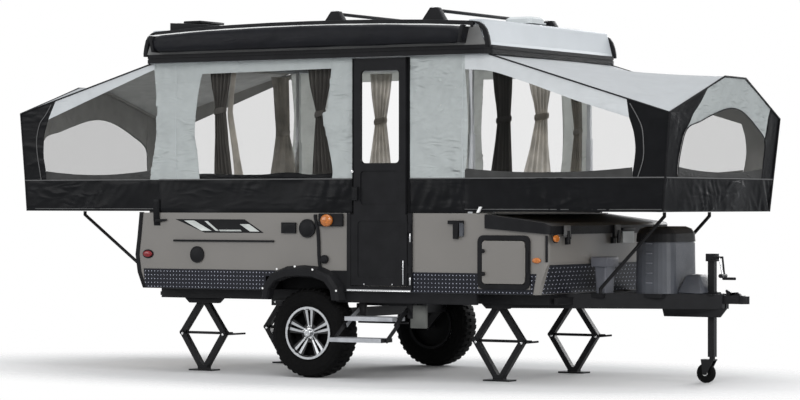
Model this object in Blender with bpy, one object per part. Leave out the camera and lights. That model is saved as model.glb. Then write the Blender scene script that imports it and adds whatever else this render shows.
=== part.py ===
"""Folding camper trailer, parked with its roof up and both beds out.

Metres, +Z up, +X towards the coupler, -Y towards the entry door. The drawing axes have X = 0
at the axle and Y = 0 on the centreline. One root empty then moves the whole trailer so that
the origin is at the middle of its box, on the ground.
"""

import math

import bmesh
import bpy
from mathutils import Matrix, Vector

for old in list(bpy.data.objects):
    bpy.data.objects.remove(old, do_unlink=True)

# Clearances
SEAT = 0.0003           # between pieces that touch
SLIP = 0.006            # between a moving piece and what it passes

# Main sizes that others hang on
TUB_W = 2.060
ROOF_Z = 2.505          # underside of the raised roof

# Running gear
TYRE_R = 0.352
TYRE_W = 0.225
RIM_R = 0.2075          # outside of the rim's lip
RIM_BARREL_R = 0.190
RIM_W = 0.205
RIM_SPOKES = 5
TURN_STEPS = 40
LUG_DEPTH = 0.009       # tread blocks stand this high, one on each shoulder per turning step
LUG_SHARE = 0.45        # of a step that is block
RIB_HALF = 0.012        # centre rib of the tread
TRACK_IN = 0.150        # how much narrower the track is than the tub
HUB_R = 0.062
SPINDLE_R = 0.022
AXLE_TUBE = 0.075
AXLE_RISE = 0.150       # torsion tube's height over the spindle
AXLE_LEAD = 0.130       # torsion tube's place ahead of the spindle

# Chassis
FRAME_Z = 0.600         # underside of the rails
RAIL_W = 0.050
RAIL_IN = 0.250         # rail's middle, inside the tub's side
RAIL_BACK = -1.585
RAIL_FRONT = 2.010
CROSS_W = 0.060
A_FRAME_H = 0.115
A_FRAME_W = 0.050
A_FRAME_START = 1.482
A_FRAME_NOSE = 3.100
A_FRAME_NOSE_Y = 0.036

# Body tub
TUB_BACK = -1.630
TUB_BULGE = 0.055
TUB_FRONT = 2.109
TUB_Z = 0.683
TUB_TOP = 1.295
TUB_WALL = 0.030
TUB_FLOOR = 0.035
TUB_KICK = 0.075        # how far the front wall slants back at its foot
TUB_KICK_Z = 0.930
TRUNK_BACK = 1.585      # partition between cabin and front trunk
TRUNK_TOP_BACK = 1.182
TRUNK_TOP_FRONT = 1.140
LID_TOP_BACK = 1.288
LID_TOP_FRONT = 1.222
LID_OVER = 0.022
LATCH_Y = (-0.720, 0.050)
PLATE_H = 0.158
PLATE_T = 0.004

# Wheel arches
ARCH_X = -0.045
ARCH_HALF = 0.385
ARCH_TOP = 0.885
ARCH_BAND = 0.090
ARCH_FOOT = 0.615
ARCH_OUT = TUB_W / 2 + 0.090
WELL_DEPTH = 0.245

# Entry door
DOOR_X = (0.354, 0.942)     # outside of its frame, along the side
DOOR_Z = 0.702
DOOR_FRAME = 0.036
DOOR_T = 0.030
DOOR_UPPER_IN = 0.024
DOOR_TOP = ROOF_Z - 0.011
DOOR_STILE = 0.060
DOOR_WINDOW_Z = (1.683, DOOR_TOP - 0.092)
DOOR_PANEL_Z = 1.360        # foot of the panel under the window
DOOR_KNUCKLES = (0.860, 1.180)
KNUCKLE_R = 0.006

# Side hatch
HATCH_X = (1.520, 1.970)
HATCH_Z = (0.722, 1.130)
HATCH_FRAME = 0.036

# Roof
ROOF_X = (-1.545, 1.622)
ROOF_W = TUB_W + 0.080
ROOF_SIDE_TOP = ROOF_Z + 0.207
ROOF_EDGE = ROOF_SIDE_TOP + 0.030
ROOF_CROWN = ROOF_EDGE + 0.048
ROOF_SLANT = 0.090
ROOF_WALL = 0.035
ROOF_FLANGE = 0.085
TRIM_H = 0.070
TRIM_T = 0.015
TRIM_GROOVE = 0.008
CORNER_TRIM = 0.130
AWNING_X = (-1.420, 1.435)
AWNING_Z = (ROOF_Z + 0.073, ROOF_SIDE_TOP + 0.010)
AWNING_T = 0.110
AWNING_RAIL = (0.022, 0.030)
VENT_X = (1.230, 1.500)
VENT_HALF = 0.135
VENT_H = 0.055
BAR_X = (0.180, 1.130)
BAR_LIFT = 0.060
BAR_T = 0.032
BAR_W = 0.052

# Canvas
CLOTH = 0.006
CABIN_X = (-1.450, 1.400)
WALL_Y = TUB_W / 2 - 0.008
WINDOW_X = (-1.080, 0.270)
WINDOW_Z = (1.585, ROOF_Z - 0.090)
GALLEY_WINDOW_X = (0.420, 1.240)
END_WINDOW_Z = 1.600
END_WINDOW_TOP = 0.445      # below the raised roof

# Lift posts
POST = 0.030
POST_X = (-1.405, 1.435)
POST_Y = WALL_Y - 0.036
SLEEVE_TOP = (TUB_TOP + ROOF_Z) / 2

# Beds
DECK_Z = 1.310
DECK_T = 0.040
DECK_HALF = TUB_W / 2 - 0.090
DECK_LAP = 0.075
FRONT_DECK_END = 3.020
REAR_DECK_END = -2.826
BED_TRAVEL_FRONT = 1.400
BED_TRAVEL_REAR = 1.300
MATTRESS_T = 0.100
BOW_R = 0.0125
FRONT_BOW = (3.106, WALL_Y - 0.013, ROOF_Z - 0.465, 3.175, 0.190, ROOF_Z - 0.175)
REAR_BOW = (-2.880, WALL_Y - 0.013, ROOF_Z - 0.385, -2.895, 0.190, ROOF_Z - 0.143)
STRUT_R = 0.014
STRUT_FRONT_X = (2.240, 2.780)
STRUT_REAR_X = -1.735
STRUT_REAR_TOP_X = -2.560
STRUT_REAR_Y = 0.550

# Stabiliser jacks
JACK_X = (-1.283, 1.482)
JACK_Y = 0.625
JACK_HALF = 0.205
JACK_ARM = 0.044
JACK_T = 0.050
JACK_FOOT = 0.230

# Tongue
COUPLER_NOSE = 3.295
COUPLER_W = 0.076
COUPLER_BALL_R = 0.0262
TONGUE_JACK_X = 2.990
TONGUE_TUBE = 0.052
TONGUE_TUBE_Z = (0.200, 0.930)
CASTER_R = 0.076
CASTER_W = 0.048
CASTER_TRAIL = 0.050
CASTER_STEPS = 20
FORK_T = 0.005
LP_X = (2.435, 2.765)
LP_HALF_Y = 0.290
LP_TOP = 1.195
LP_ROUND = 0.130
LP_LID = 0.118          # height of its lid
LP_SEAM = 0.008
BATTERY = (2.200, -0.250)   # middle of the battery box
BATTERY_TOP = 0.955
BATTERY_LID = 0.062
TONGUE_COVER_X = (2.790, 2.930)
TONGUE_COVER_TOP = 0.815

# Entry steps
STEP_X = (0.370, 0.860)
STEP_UPPER_Z = 0.494
STEP_LOWER_Z = 0.338
STEP_UPPER_EDGE = 1.150
STEP_LOWER_EDGE = 1.350
STEP_DEPTH = 0.190
STEP_T = 0.032
STEP_ARM = 0.012
STEP_PIVOT = (-0.900, 0.560)
STEP_LUG = 0.012
STEP_SHEET = 0.005          # the treads are trays of this sheet
STEP_PIN_R = 0.008

# Furniture
GALLEY_X = (-0.300, 0.980)
GALLEY_DEPTH = 0.460
GALLEY_TOP = 1.264
WORKTOP_T = 0.028
DINETTE_X = (-1.540, -0.980)
DINETTE_HALF = 0.750
BENCH_W = 0.420
BENCH_TOP = 1.100
CUSHION_T = 0.080
PLINTH_H = 0.060
TABLE_TOP = 1.270
TABLE_T = 0.025

SPINDLE_Z = TYRE_R
SIDE_Y = TUB_W / 2
TRACK = TUB_W - TRACK_IN
RAIL_Y = SIDE_Y - RAIL_IN
MID = Vector(((COUPLER_NOSE + REAR_BOW[3]) / 2, (ARCH_OUT - STEP_LOWER_EDGE) / 2, 0))


def beam_y(x):
    """Middle of the A-frame's beam, at this place along the trailer."""
    part = (x - A_FRAME_START) / (A_FRAME_NOSE - A_FRAME_START)
    return RAIL_Y - RAIL_W + part * (A_FRAME_NOSE_Y - RAIL_Y + RAIL_W)


FINISHES = {
    "taupe": ((0.205, 0.195, 0.180), 0.38, 0.0),
    "pale": ((0.49, 0.52, 0.53), 0.60, 0.0),
    "roof": ((0.38, 0.40, 0.42), 0.45, 0.0),
    "black": ((0.022, 0.022, 0.024), 0.55, 0.0),
    "steel": ((0.030, 0.030, 0.032), 0.45, 0.6),
    "plate": ((0.035, 0.037, 0.045), 0.35, 0.8),
    "rubber": ((0.020, 0.020, 0.021), 0.85, 0.0),
    "alloy": ((0.60, 0.61, 0.62), 0.28, 1.0),
    "canvas": ((0.50, 0.52, 0.52), 0.90, 0.0),
    "awning": ((0.060, 0.062, 0.066), 0.90, 0.0),
    "charcoal": ((0.070, 0.072, 0.075), 0.60, 0.0),
    "ply": ((0.45, 0.33, 0.20), 0.60, 0.0),
    "foam": ((0.60, 0.60, 0.58), 0.95, 0.0),
    "red": ((0.45, 0.02, 0.015), 0.25, 0.0),
    "cabinet": ((0.42, 0.36, 0.30), 0.50, 0.0),
}


def material(name, finish):
    colour, rough, metal = FINISHES[finish]
    made = bpy.data.materials.new(name)
    made.use_nodes = True
    shader = made.node_tree.nodes["Principled BSDF"]
    shader.inputs["Base Color"].default_value = (*colour, 1)
    shader.inputs["Roughness"].default_value = rough
    shader.inputs["Metallic"].default_value = metal
    made.diffuse_color = (*colour, 1)
    return made


def loft(rings, paired=False):
    """Closed body through rings of points, all with the same count.

    Paired rings run up one side and down the other, and close in level strips.
    """
    bm = bmesh.new()
    rows = [[bm.verts.new(p) for p in ring] for ring in rings]
    for a, b in zip(rows, rows[1:]):
        for i in range(len(a)):
            j = (i + 1) % len(a)
            bm.faces.new((a[i], a[j], b[j], b[i]))
    for row in (rows[0], rows[-1]):
        if not paired:
            bm.faces.new(row)
            continue
        last = len(row) - 1
        for i in range(len(row) // 2 - 1):
            bm.faces.new((row[i], row[i + 1], row[last - i - 1], row[last - i]))
    if paired:
        bmesh.ops.triangulate(bm, faces=bm.faces)
    bmesh.ops.recalc_face_normals(bm, faces=bm.faces)
    return bm


AXES = {
    "x": lambda h, u, v: (h, u, v),
    "y": lambda h, u, v: (u, h, v),
    "z": lambda h, u, v: (u, v, h),
}


def prism(axis, outline, low, high):
    """An outline pushed along an axis. It is drawn in the two other axes, in their order."""
    at = AXES[axis]
    return loft([[at(h, u, v) for u, v in outline] for h in (low, high)])


def box(x, y, z):
    return prism("z", [(x[0], y[0]), (x[1], y[0]), (x[1], y[1]), (x[0], y[1])], z[0], z[1])


def around(middle, size):
    return (middle - size / 2, middle + size / 2)


def rounded(u, v, radius, steps=4):
    """Outline of a rectangle with round corners."""
    points = []
    corners = ((u[1], v[1], 0), (u[0], v[1], 90), (u[0], v[0], 180), (u[1], v[0], 270))
    for cu, cv, start in corners:
        mu = cu - math.copysign(radius, cu - sum(u) / 2)
        mv = cv - math.copysign(radius, cv - sum(v) / 2)
        for k in range(steps + 1):
            turn = math.radians(start + 90 * k / steps)
            points.append((mu + radius * math.cos(turn), mv + radius * math.sin(turn)))
    return points


def tube(path, radius, sides=10):
    """Round rod along a path, with mitred bends and flat ends."""
    points = [Vector(p) for p in path]
    rings = []
    up = None
    for i, p in enumerate(points):
        before = (p - points[i - 1]).normalized() if i else None
        after = (points[i + 1] - p).normalized() if i + 1 < len(points) else None
        run = after or before
        middle = (before + after).normalized() if before and after else run
        if up is None:
            up = Vector((0, 0, 1)) if abs(run.z) < 0.9 else Vector((1, 0, 0))
            up = (up - run * up.dot(run)).normalized()
        else:
            up = (up - middle * up.dot(middle)).normalized()
        side = middle.cross(up)
        bend = before.cross(after) if before and after else Vector()
        across = bend.normalized().cross(middle) if bend.length > 1e-6 else Vector()
        wide = 1 / max(0.3, middle.dot(run)) - 1
        ring = []
        for k in range(sides):
            t = math.tau * k / sides
            reach = radius * (math.cos(t) * up + math.sin(t) * side)
            ring.append(p + reach + across * reach.dot(across) * wide)
        rings.append(ring)
    return loft(rings)


def rod(start, end, radius, sides=16):
    return tube([start, end], radius, sides)


def turned(profile, centre, axis="y", steps=48):
    """Closed outline of (along, radius) points turned about an axis."""
    at = AXES[axis]
    bm = bmesh.new()
    rows = []
    for k in range(steps):
        t = math.tau * k / steps
        rows.append([
            bm.verts.new(Vector(centre) + Vector(at(h, r * math.cos(t), r * math.sin(t))))
            for h, r in profile
        ])
    for k in range(steps):
        a, b = rows[k], rows[(k + 1) % steps]
        for i in range(len(profile)):
            j = (i + 1) % len(profile)
            bm.faces.new((a[i], a[j], b[j], b[i]))
    bmesh.ops.recalc_face_normals(bm, faces=bm.faces)
    return bm


def moved(bm, matrix):
    bm.transform(matrix)
    if matrix.determinant() < 0:
        bmesh.ops.recalc_face_normals(bm, faces=bm.faces)
    return bm


def mirrored(bm, axis="y"):
    """Copy on the other side of the centreline."""
    scale = {"x": (-1, 1, 1), "y": (1, -1, 1), "z": (1, 1, -1)}[axis]
    return moved(bm.copy(), Matrix.Diagonal((*scale, 1)))


def both(bm):
    return [bm, mirrored(bm)]


ROOT = bpy.data.objects.new("trailer", None)
ROOT.location = -MID
bpy.context.scene.collection.objects.link(ROOT)


def temporary(bm):
    mesh = bpy.data.meshes.new("shape")
    bm.to_mesh(mesh)
    bm.free()
    obj = bpy.data.objects.new("shape", mesh)
    bpy.context.scene.collection.objects.link(obj)
    return obj


def combined(base, others, operation):
    """The base after a Boolean with each of the others."""
    for bm in others:
        other = temporary(bm)
        other.parent = base.parent
        step = base.modifiers.new("cut", "BOOLEAN")
        step.operation = operation
        step.solver = "EXACT"
        step.object = other
        graph = bpy.context.evaluated_depsgraph_get()
        mesh = bpy.data.meshes.new_from_object(base.evaluated_get(graph))
        base.modifiers.clear()
        spent = base.data
        base.data = mesh
        bpy.data.meshes.remove(spent)
        bpy.data.objects.remove(other, do_unlink=True)


def node(name, colour, adds, cuts=(), keeps=(), pivot=None, angle=30):
    """One named piece: its shapes joined, cut, and set on its pivot."""
    adds = list(adds)
    obj = temporary(adds[0])
    combined(obj, adds[1:], "UNION")
    combined(obj, keeps, "INTERSECT")
    combined(obj, cuts, "DIFFERENCE")
    obj.name = name
    obj.data.name = name
    obj.data.materials.clear()
    obj.data.materials.append(material(name, colour))
    obj.data.shade_smooth()
    obj.data.set_sharp_from_angle(angle=math.radians(angle))
    if pivot is not None:
        obj.data.transform(Matrix.Translation(-Vector(pivot)))
        obj.location = pivot
    obj.parent = ROOT
    return obj


# Chassis
a_top = TUB_Z - SEAT
rail_z = (FRAME_Z, a_top)
frame_parts = []
for side in (-1, 1):
    frame_parts.append(box((RAIL_BACK, RAIL_FRONT), around(side * RAIL_Y, RAIL_W), rail_z))
for x in (RAIL_BACK + CROSS_W / 2, JACK_X[0], AXLE_LEAD, JACK_X[1], RAIL_FRONT - CROSS_W / 2):
    frame_parts.append(box(around(x, CROSS_W), (-RAIL_Y, RAIL_Y), rail_z))
for side in (-1, 1):
    ends = []
    for x in (A_FRAME_START, A_FRAME_NOSE):
        ends.append((x, side * beam_y(x)))
    half = A_FRAME_W / 2
    outline = [
        (ends[0][0], ends[0][1] - half),
        (ends[1][0], ends[1][1] - half),
        (ends[1][0], ends[1][1] + half),
        (ends[0][0], ends[0][1] + half),
    ]
    frame_parts.append(prism("z", outline, a_top - A_FRAME_H, a_top))
for side in (-1, 1):
    frame_parts.append(box((STRUT_REAR_X - 0.025, RAIL_BACK + 0.02), around(side * STRUT_REAR_Y, 0.050),
                           (FRAME_Z + 0.010, FRAME_Z + 0.040)))
for low, high in ((2.125, 2.285), (LP_X[0] + 0.06, LP_X[1] - 0.06)):
    reach = beam_y(low)
    frame_parts.append(box((low, high), (-reach, reach), (a_top - 0.030, a_top)))
reach = beam_y(TONGUE_JACK_X - 0.06)
frame_parts.append(
    box((TONGUE_JACK_X - 0.05, TONGUE_JACK_X + 0.05), (-reach, reach), (a_top - 0.012, a_top))
)
hole = box(
    around(TONGUE_JACK_X, TONGUE_TUBE + 2 * SEAT),
    around(0, TONGUE_TUBE + 2 * SEAT),
    (a_top - 0.2, a_top + 0.1),
)
node("frame", "steel", frame_parts, cuts=[hole])

tube_y = RAIL_Y + RAIL_W / 2
arm_y = (tube_y + 0.004, tube_y + 0.034)
spindle_end = TRACK / 2 + RIM_W / 2 - 0.030
axle_parts = [
    box(
        around(AXLE_LEAD, AXLE_TUBE),
        (-arm_y[1], arm_y[1]),
        around(SPINDLE_Z + AXLE_RISE, AXLE_TUBE),
    )
]
for side in (-1, 1):
    axle_parts.append(
        box(
            around(AXLE_LEAD, 0.140),
            around(side * RAIL_Y, 0.012),
            (SPINDLE_Z + AXLE_RISE, FRAME_Z - SEAT),
        )
    )
    run = math.atan2(AXLE_RISE, AXLE_LEAD)
    lift = Vector((-math.sin(run), 0, math.cos(run))) * 0.030
    a = Vector((0, 0, SPINDLE_Z))
    b = Vector((AXLE_LEAD, 0, SPINDLE_Z + AXLE_RISE))
    ahead = (b - a).normalized() * 0.030
    corners = [a - ahead - lift, b + ahead - lift, b + ahead + lift, a - ahead + lift]
    outline = [(p.x, p.z) for p in corners]
    low, high = sorted((side * arm_y[0], side * arm_y[1]))
    axle_parts.append(prism("y", outline, low, high))
    axle_parts.append(
        rod((0, side * arm_y[0], SPINDLE_Z), (0, side * spindle_end, SPINDLE_Z), SPINDLE_R, 24)
    )
node("axle", "steel", axle_parts)

# Wheels
def tyre(side_line, centre):
    """Tyre about Y: smooth sidewalls, and tread blocks that take turns on the two shoulders.

    side_line is the half profile from the bead to the sidewall's top, as (half width, radius).
    """
    at = AXES["y"]
    bm = bmesh.new()

    def ring(h, r, step):
        t = math.tau * step / TURN_STEPS
        return bm.verts.new(Vector(centre) + Vector(at(h, r * math.cos(t), r * math.sin(t))))

    shoulder = TYRE_W / 2 - 0.036
    low = TYRE_R - LUG_DEPTH
    parts = (0, LUG_SHARE, 0.5, 0.5 + LUG_SHARE)
    walls = []
    treads = []
    for side in (-1, 1):
        walls.append([[ring(side * h, r, k) for h, r in side_line] for k in range(TURN_STEPS)])
        rows = []
        for k in range(TURN_STEPS):
            for i, part in enumerate(parts):
                block = i < 2 if side < 0 else i > 1
                r = TYRE_R if block else low
                rows.append([ring(side * shoulder, r - 0.003, k + part),
                             ring(side * RIB_HALF * 2, r, k + part),
                             ring(side * RIB_HALF, TYRE_R, k + part)])
        treads.append(rows)
    for wall, tread in zip(walls, treads):
        for k in range(TURN_STEPS):
            a, b = wall[k], wall[(k + 1) % TURN_STEPS]
            for i in range(len(side_line) - 1):
                bm.faces.new((a[i], a[i + 1], b[i + 1], b[i]))
            edge = [tread[(4 * k + i) % len(tread)][0] for i in range(5)]
            bm.faces.new((a[-1], edge[0], edge[1]))
            bm.faces.new((a[-1], edge[1], edge[2]))
            bm.faces.new((a[-1], edge[2], b[-1]))
            bm.faces.new((b[-1], edge[2], edge[3]))
            bm.faces.new((b[-1], edge[3], edge[4]))
    for k in range(TURN_STEPS):
        a, b = walls[0][k][0], walls[1][k][0]
        c, d = walls[1][(k + 1) % TURN_STEPS][0], walls[0][(k + 1) % TURN_STEPS][0]
        bm.faces.new((a, b, c, d))
    for k in range(len(treads[0])):
        a = treads[0][k] + treads[1][k][::-1]
        b = treads[0][(k + 1) % len(treads[0])] + treads[1][(k + 1) % len(treads[0])][::-1]
        for i in range(len(a) - 1):
            bm.faces.new((a[i], a[i + 1], b[i + 1], b[i]))
    bmesh.ops.recalc_face_normals(bm, faces=bm.faces)
    return bm


for side, label in ((-1, "right"), (1, "left")):
    middle = (0, side * TRACK / 2, SPINDLE_Z)
    w = TYRE_W / 2
    bead = RIM_W / 2 - 0.012
    profile = [(bead, RIM_BARREL_R + 0.004 + SEAT), (bead, RIM_R + SEAT), (w - 0.004, 0.250),
               (w, 0.290), (w - 0.010, TYRE_R - 0.028)]
    node(f"tyre_{label}", "rubber", [tyre(profile, middle)], pivot=middle)

    face = side * (RIM_W / 2 - 0.016)
    lip = RIM_W / 2
    wall_r = RIM_BARREL_R - 0.006
    bore_r = SPINDLE_R + SEAT
    depth = RIM_W / 2 - 0.016
    section = [
        (lip, RIM_R), (lip, wall_r + 0.002), (depth - 0.004, wall_r), (depth - 0.018, HUB_R),
        (depth - 0.012, bore_r), (depth - 0.045, bore_r), (depth - 0.045, HUB_R),
        (depth - 0.040, wall_r), (-lip, wall_r), (-lip, RIM_R), (-bead - SEAT, RIM_R),
        (-bead - SEAT, RIM_BARREL_R + 0.004), (bead + SEAT, RIM_BARREL_R + 0.004),
        (bead + SEAT, RIM_R),
    ]
    section = [(side * h, r) for h, r in section]
    cuts = []
    low, high = sorted((face - side * 0.08, face + side * 0.02))
    for k in range(RIM_SPOKES):
        t = math.tau * (k + 0.5) / RIM_SPOKES + math.pi / 2
        for start, spread_in, spread_out, r0, r1 in (
            (0, 0.018, 0.056, HUB_R + 0.012, RIM_BARREL_R - 0.016),
            (math.pi / RIM_SPOKES, 0.004, 0.013, HUB_R + 0.030, RIM_BARREL_R - 0.018),
        ):
            a = t + start
            ray = Vector((math.cos(a), math.sin(a)))
            across = Vector((-ray.y, ray.x))
            outline = [
                ray * r0 - across * spread_in,
                ray * r1 - across * spread_out,
                ray * (r1 + spread_out * 0.12),
                ray * r1 + across * spread_out,
                ray * r0 + across * spread_in,
            ]
            cuts.append(prism("y", [(p.x, p.y + SPINDLE_Z) for p in outline],
                              middle[1] + low, middle[1] + high))
    node(f"rim_{label}", "alloy", [turned(section, middle, "y", TURN_STEPS)], cuts=cuts, pivot=middle)

# Tub
outline = [
    (TUB_BACK + 0.020, TUB_Z), (RAIL_FRONT + 0.024, TUB_Z), (TUB_FRONT, TUB_KICK_Z),
    (TUB_FRONT, TRUNK_TOP_FRONT), (TRUNK_BACK, TRUNK_TOP_BACK), (TRUNK_BACK, TUB_TOP),
    (TUB_BACK - 0.015, TUB_TOP), (TUB_BACK - 0.042, 1.070), (TUB_BACK - TUB_BULGE, 0.950),
    (TUB_BACK - 0.030, 0.800),
]
plan = rounded((TUB_BACK - TUB_BULGE, TUB_FRONT), (-SIDE_Y, SIDE_Y), 0.045, 4)
floor_z = TUB_Z + TUB_FLOOR
inner_y = SIDE_Y - TUB_WALL
cabin = box((TUB_BACK + TUB_WALL, TRUNK_BACK - TUB_WALL), (-inner_y, inner_y),
            (floor_z, TUB_TOP - 0.030))
mouth = box((TUB_BACK + TUB_WALL, TRUNK_BACK - TUB_WALL), (-0.930, 0.930),
            (TUB_TOP - 0.060, TUB_TOP + 0.060))
trunk = prism(
    "y",
    [(TRUNK_BACK, floor_z), (RAIL_FRONT - 0.010, floor_z),
     (TUB_FRONT - TUB_WALL, TUB_KICK_Z), (TUB_FRONT - TUB_WALL, LID_TOP_BACK),
     (TRUNK_BACK, LID_TOP_BACK)],
    -inner_y, inner_y,
)
arch_x = (ARCH_X - ARCH_HALF + 0.020, ARCH_X + ARCH_HALF - 0.020)
well_top = ARCH_TOP - ARCH_BAND
rail_strip = box((TUB_BACK + 0.010, TRUNK_BACK), (0.880, 0.925), (TUB_TOP - 0.010, DECK_Z - SEAT))
tub_parts = [prism("y", outline, -SIDE_Y, SIDE_Y)]
tub_cuts = [cabin, mouth, trunk]
housings = []
wells = []
for side in (-1, 1):
    low, high = sorted((side * (SIDE_Y - WELL_DEPTH - 0.015), side * (SIDE_Y - 0.010)))
    housings.append(
        box((arch_x[0] - 0.015, arch_x[1] + 0.015), (low, high), (floor_z - 0.010, well_top + 0.015)))
    low, high = sorted((side * (SIDE_Y - WELL_DEPTH), side * (SIDE_Y + 0.100)))
    wells.append(box(arch_x, (low, high), (TUB_Z - 0.100, well_top)))
door_cut = box((DOOR_X[0] - SEAT, DOOR_X[1] + SEAT), (-SIDE_Y - 0.1, -inner_y + 0.06),
               (DOOR_Z - SEAT, TUB_TOP + 0.1))
hatch_cut = box((HATCH_X[0] + 0.015, HATCH_X[1] - 0.015), (-SIDE_Y - 0.1, -inner_y + 0.02),
                (HATCH_Z[0] + 0.015, HATCH_Z[1] - 0.015))
tub = node("tub", "taupe", tub_parts, keeps=[prism("z", plan, TUB_Z - 0.1, TUB_TOP + 0.1)],
           cuts=tub_cuts)
combined(tub, housings, "UNION")
combined(tub, [rail_strip, mirrored(rail_strip)], "UNION")
combined(tub, wells, "DIFFERENCE")
combined(tub, [door_cut, hatch_cut], "DIFFERENCE")

# Tread-plate bands
band = (TUB_Z + 0.001, TUB_Z + PLATE_H)
for side, label in ((-1, "right"), (1, "left")):
    low, high = sorted((side * (SIDE_Y + SEAT), side * (SIDE_Y + SEAT + PLATE_T)))
    body = prism("y", [(TUB_BACK + 0.045, band[0]), (RAIL_FRONT - 0.020, band[0]),
                       (RAIL_FRONT + 0.010, band[1]), (TUB_BACK + 0.030, band[1])], low, high)
    cuts = [box(arch_x, (low - 0.1, high + 0.1), (0, well_top))]
    if side < 0:
        cuts.append(box((DOOR_X[0] - SEAT, DOOR_X[1] + SEAT), (low - 0.1, high + 0.1),
                        (DOOR_Z - SEAT, 2)))
        cuts.append(box((HATCH_X[0] - SEAT, HATCH_X[1] + SEAT), (low - 0.1, high + 0.1),
                        (HATCH_Z[0] - SEAT, 2)))
    node(f"tread_plate_{label}", "plate", [body], cuts=cuts)
slant = math.atan2(TUB_FRONT - RAIL_FRONT - 0.024, TUB_KICK_Z - TUB_Z)
foot = Vector((RAIL_FRONT + 0.024 + SEAT, 0, TUB_Z))
along = Vector((math.sin(slant), 0, math.cos(slant)))
out = Vector((math.cos(slant), 0, -math.sin(slant)))
corners = [foot + along * 0.004 + out * SEAT, foot + along * 0.235 + out * SEAT,
           foot + along * 0.235 + out * PLATE_T, foot + along * 0.004 + out * PLATE_T]
node("tread_plate_front", "plate", [prism("y", [(p.x, p.z) for p in corners], -0.975, 0.975)])

# Wheel arch flares
def arch(grow, foot_z):
    half = ARCH_HALF - grow
    top = ARCH_TOP - grow
    points = [(-1.00, 0.00), (-0.95, 0.42), (-0.76, 0.78), (-0.42, 0.96), (0.0, 1.0)]
    full = points + [(-u, v) for u, v in reversed(points[:-1])]
    return [(ARCH_X + u * half, foot_z + v * (top - foot_z)) for u, v in full]


for side, label in ((-1, "right"), (1, "left")):
    outer = arch(0, ARCH_FOOT)
    inner = arch(ARCH_BAND, ARCH_FOOT)
    rim_line = arch(0.022, ARCH_FOOT)
    seat_y = side * (SIDE_Y + PLATE_T + 2 * SEAT)
    rings = []
    for y, line, hole in ((seat_y, outer, inner), (side * (ARCH_OUT - 0.020), rim_line, inner),
                          (side * ARCH_OUT, arch(0.045, ARCH_FOOT), arch(ARCH_BAND - 0.010, ARCH_FOOT))):
        rings.append([(u, y, v) for u, v in line + hole[::-1]])
    node(f"fender_{label}", "black", [loft(rings)])

# Entry door and its frame
fy = (-SIDE_Y - 0.016, -SIDE_Y + TUB_WALL)
frame_out = box(DOOR_X, fy, (DOOR_Z, TUB_TOP - SEAT))
leaf_x = (DOOR_X[0] + DOOR_FRAME + SLIP, DOOR_X[1] - DOOR_FRAME - SLIP)
leaf_z = DOOR_Z + DOOR_FRAME * 0.7 + SLIP
frame_in = box((DOOR_X[0] + DOOR_FRAME, DOOR_X[1] - DOOR_FRAME), (-2, 0),
               (DOOR_Z + DOOR_FRAME * 0.7, 2))
door_hinge = (leaf_x[1] + 0.001, -SIDE_Y - 0.023, leaf_z)
lugs = [
    box((door_hinge[0] + KNUCKLE_R + SEAT, DOOR_X[1] - 0.004),
        (-SIDE_Y - 0.0215, -SIDE_Y - 0.010), around(z, 0.060))
    for z in DOOR_KNUCKLES
]
node("door_frame", "black", [frame_out], cuts=[frame_in])
combined(bpy.data.objects["door_frame"], lugs, "UNION")
leaf_y = (-SIDE_Y - 0.020, -SIDE_Y - 0.020 + DOOR_T)
upper_x = (leaf_x[0] + DOOR_UPPER_IN, leaf_x[1] - DOOR_UPPER_IN * 0.5)
leaf = [
    box(leaf_x, leaf_y, (leaf_z, TUB_TOP - 0.010)),
    box(upper_x, leaf_y, (TUB_TOP - 0.050, DOOR_TOP)),
]
for z in DOOR_KNUCKLES:
    leaf.append(rod((*door_hinge[:2], z - 0.045), (*door_hinge[:2], z + 0.045), KNUCKLE_R, 10))
light_x = (upper_x[0] + DOOR_STILE, upper_x[1] - DOOR_STILE)
window = prism("y", rounded(light_x, DOOR_WINDOW_Z, 0.030), -2, 0)
panel = prism("y", rounded(light_x, (DOOR_PANEL_Z, DOOR_WINDOW_Z[0] - 0.060), 0.030),
              -2, leaf_y[0] + 0.008)
kick = prism("y", rounded((leaf_x[0] + DOOR_STILE, leaf_x[1] - DOOR_STILE),
                          (leaf_z + DOOR_STILE, TUB_TOP - DOOR_STILE), 0.030), -2, leaf_y[0] + 0.005)
node("door", "black", leaf, cuts=[window, panel, kick], pivot=door_hinge)

# Side hatch
hy = (-SIDE_Y - 0.016, -SIDE_Y - SEAT)
plan = rounded(HATCH_X, HATCH_Z, 0.050)
hole_x = (HATCH_X[0] + HATCH_FRAME, HATCH_X[1] - HATCH_FRAME)
hole_z = (HATCH_Z[0] + HATCH_FRAME, HATCH_Z[1] - HATCH_FRAME)
gap = SLIP
lid_x = (hole_x[0] + gap, hole_x[1] - gap)
lid_z = (hole_z[0] + gap, hole_z[1] - gap)
hatch_hinge = (lid_x[1] + 0.001, -SIDE_Y - 0.022, sum(HATCH_Z) / 2)
hatch_frame = node("hatch_frame", "black", [prism("y", plan, *hy)],
                   cuts=[prism("y", rounded(hole_x, hole_z, 0.030), -2, 0)])
combined(hatch_frame, [
    box((hatch_hinge[0] + KNUCKLE_R + SEAT, HATCH_X[1] - 0.010),
        (-SIDE_Y - 0.0205, -SIDE_Y - 0.010), around(hatch_hinge[2], 0.160))
], "UNION")
node("hatch_door", "taupe",
     [prism("y", rounded(lid_x, lid_z, 0.026), -SIDE_Y - 0.019, -SIDE_Y - 0.003),
      rod((hatch_hinge[0], hatch_hinge[1], lid_z[0] + 0.05),
          (hatch_hinge[0], hatch_hinge[1], lid_z[1] - 0.05), KNUCKLE_R, 10)],
     pivot=hatch_hinge)

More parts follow.
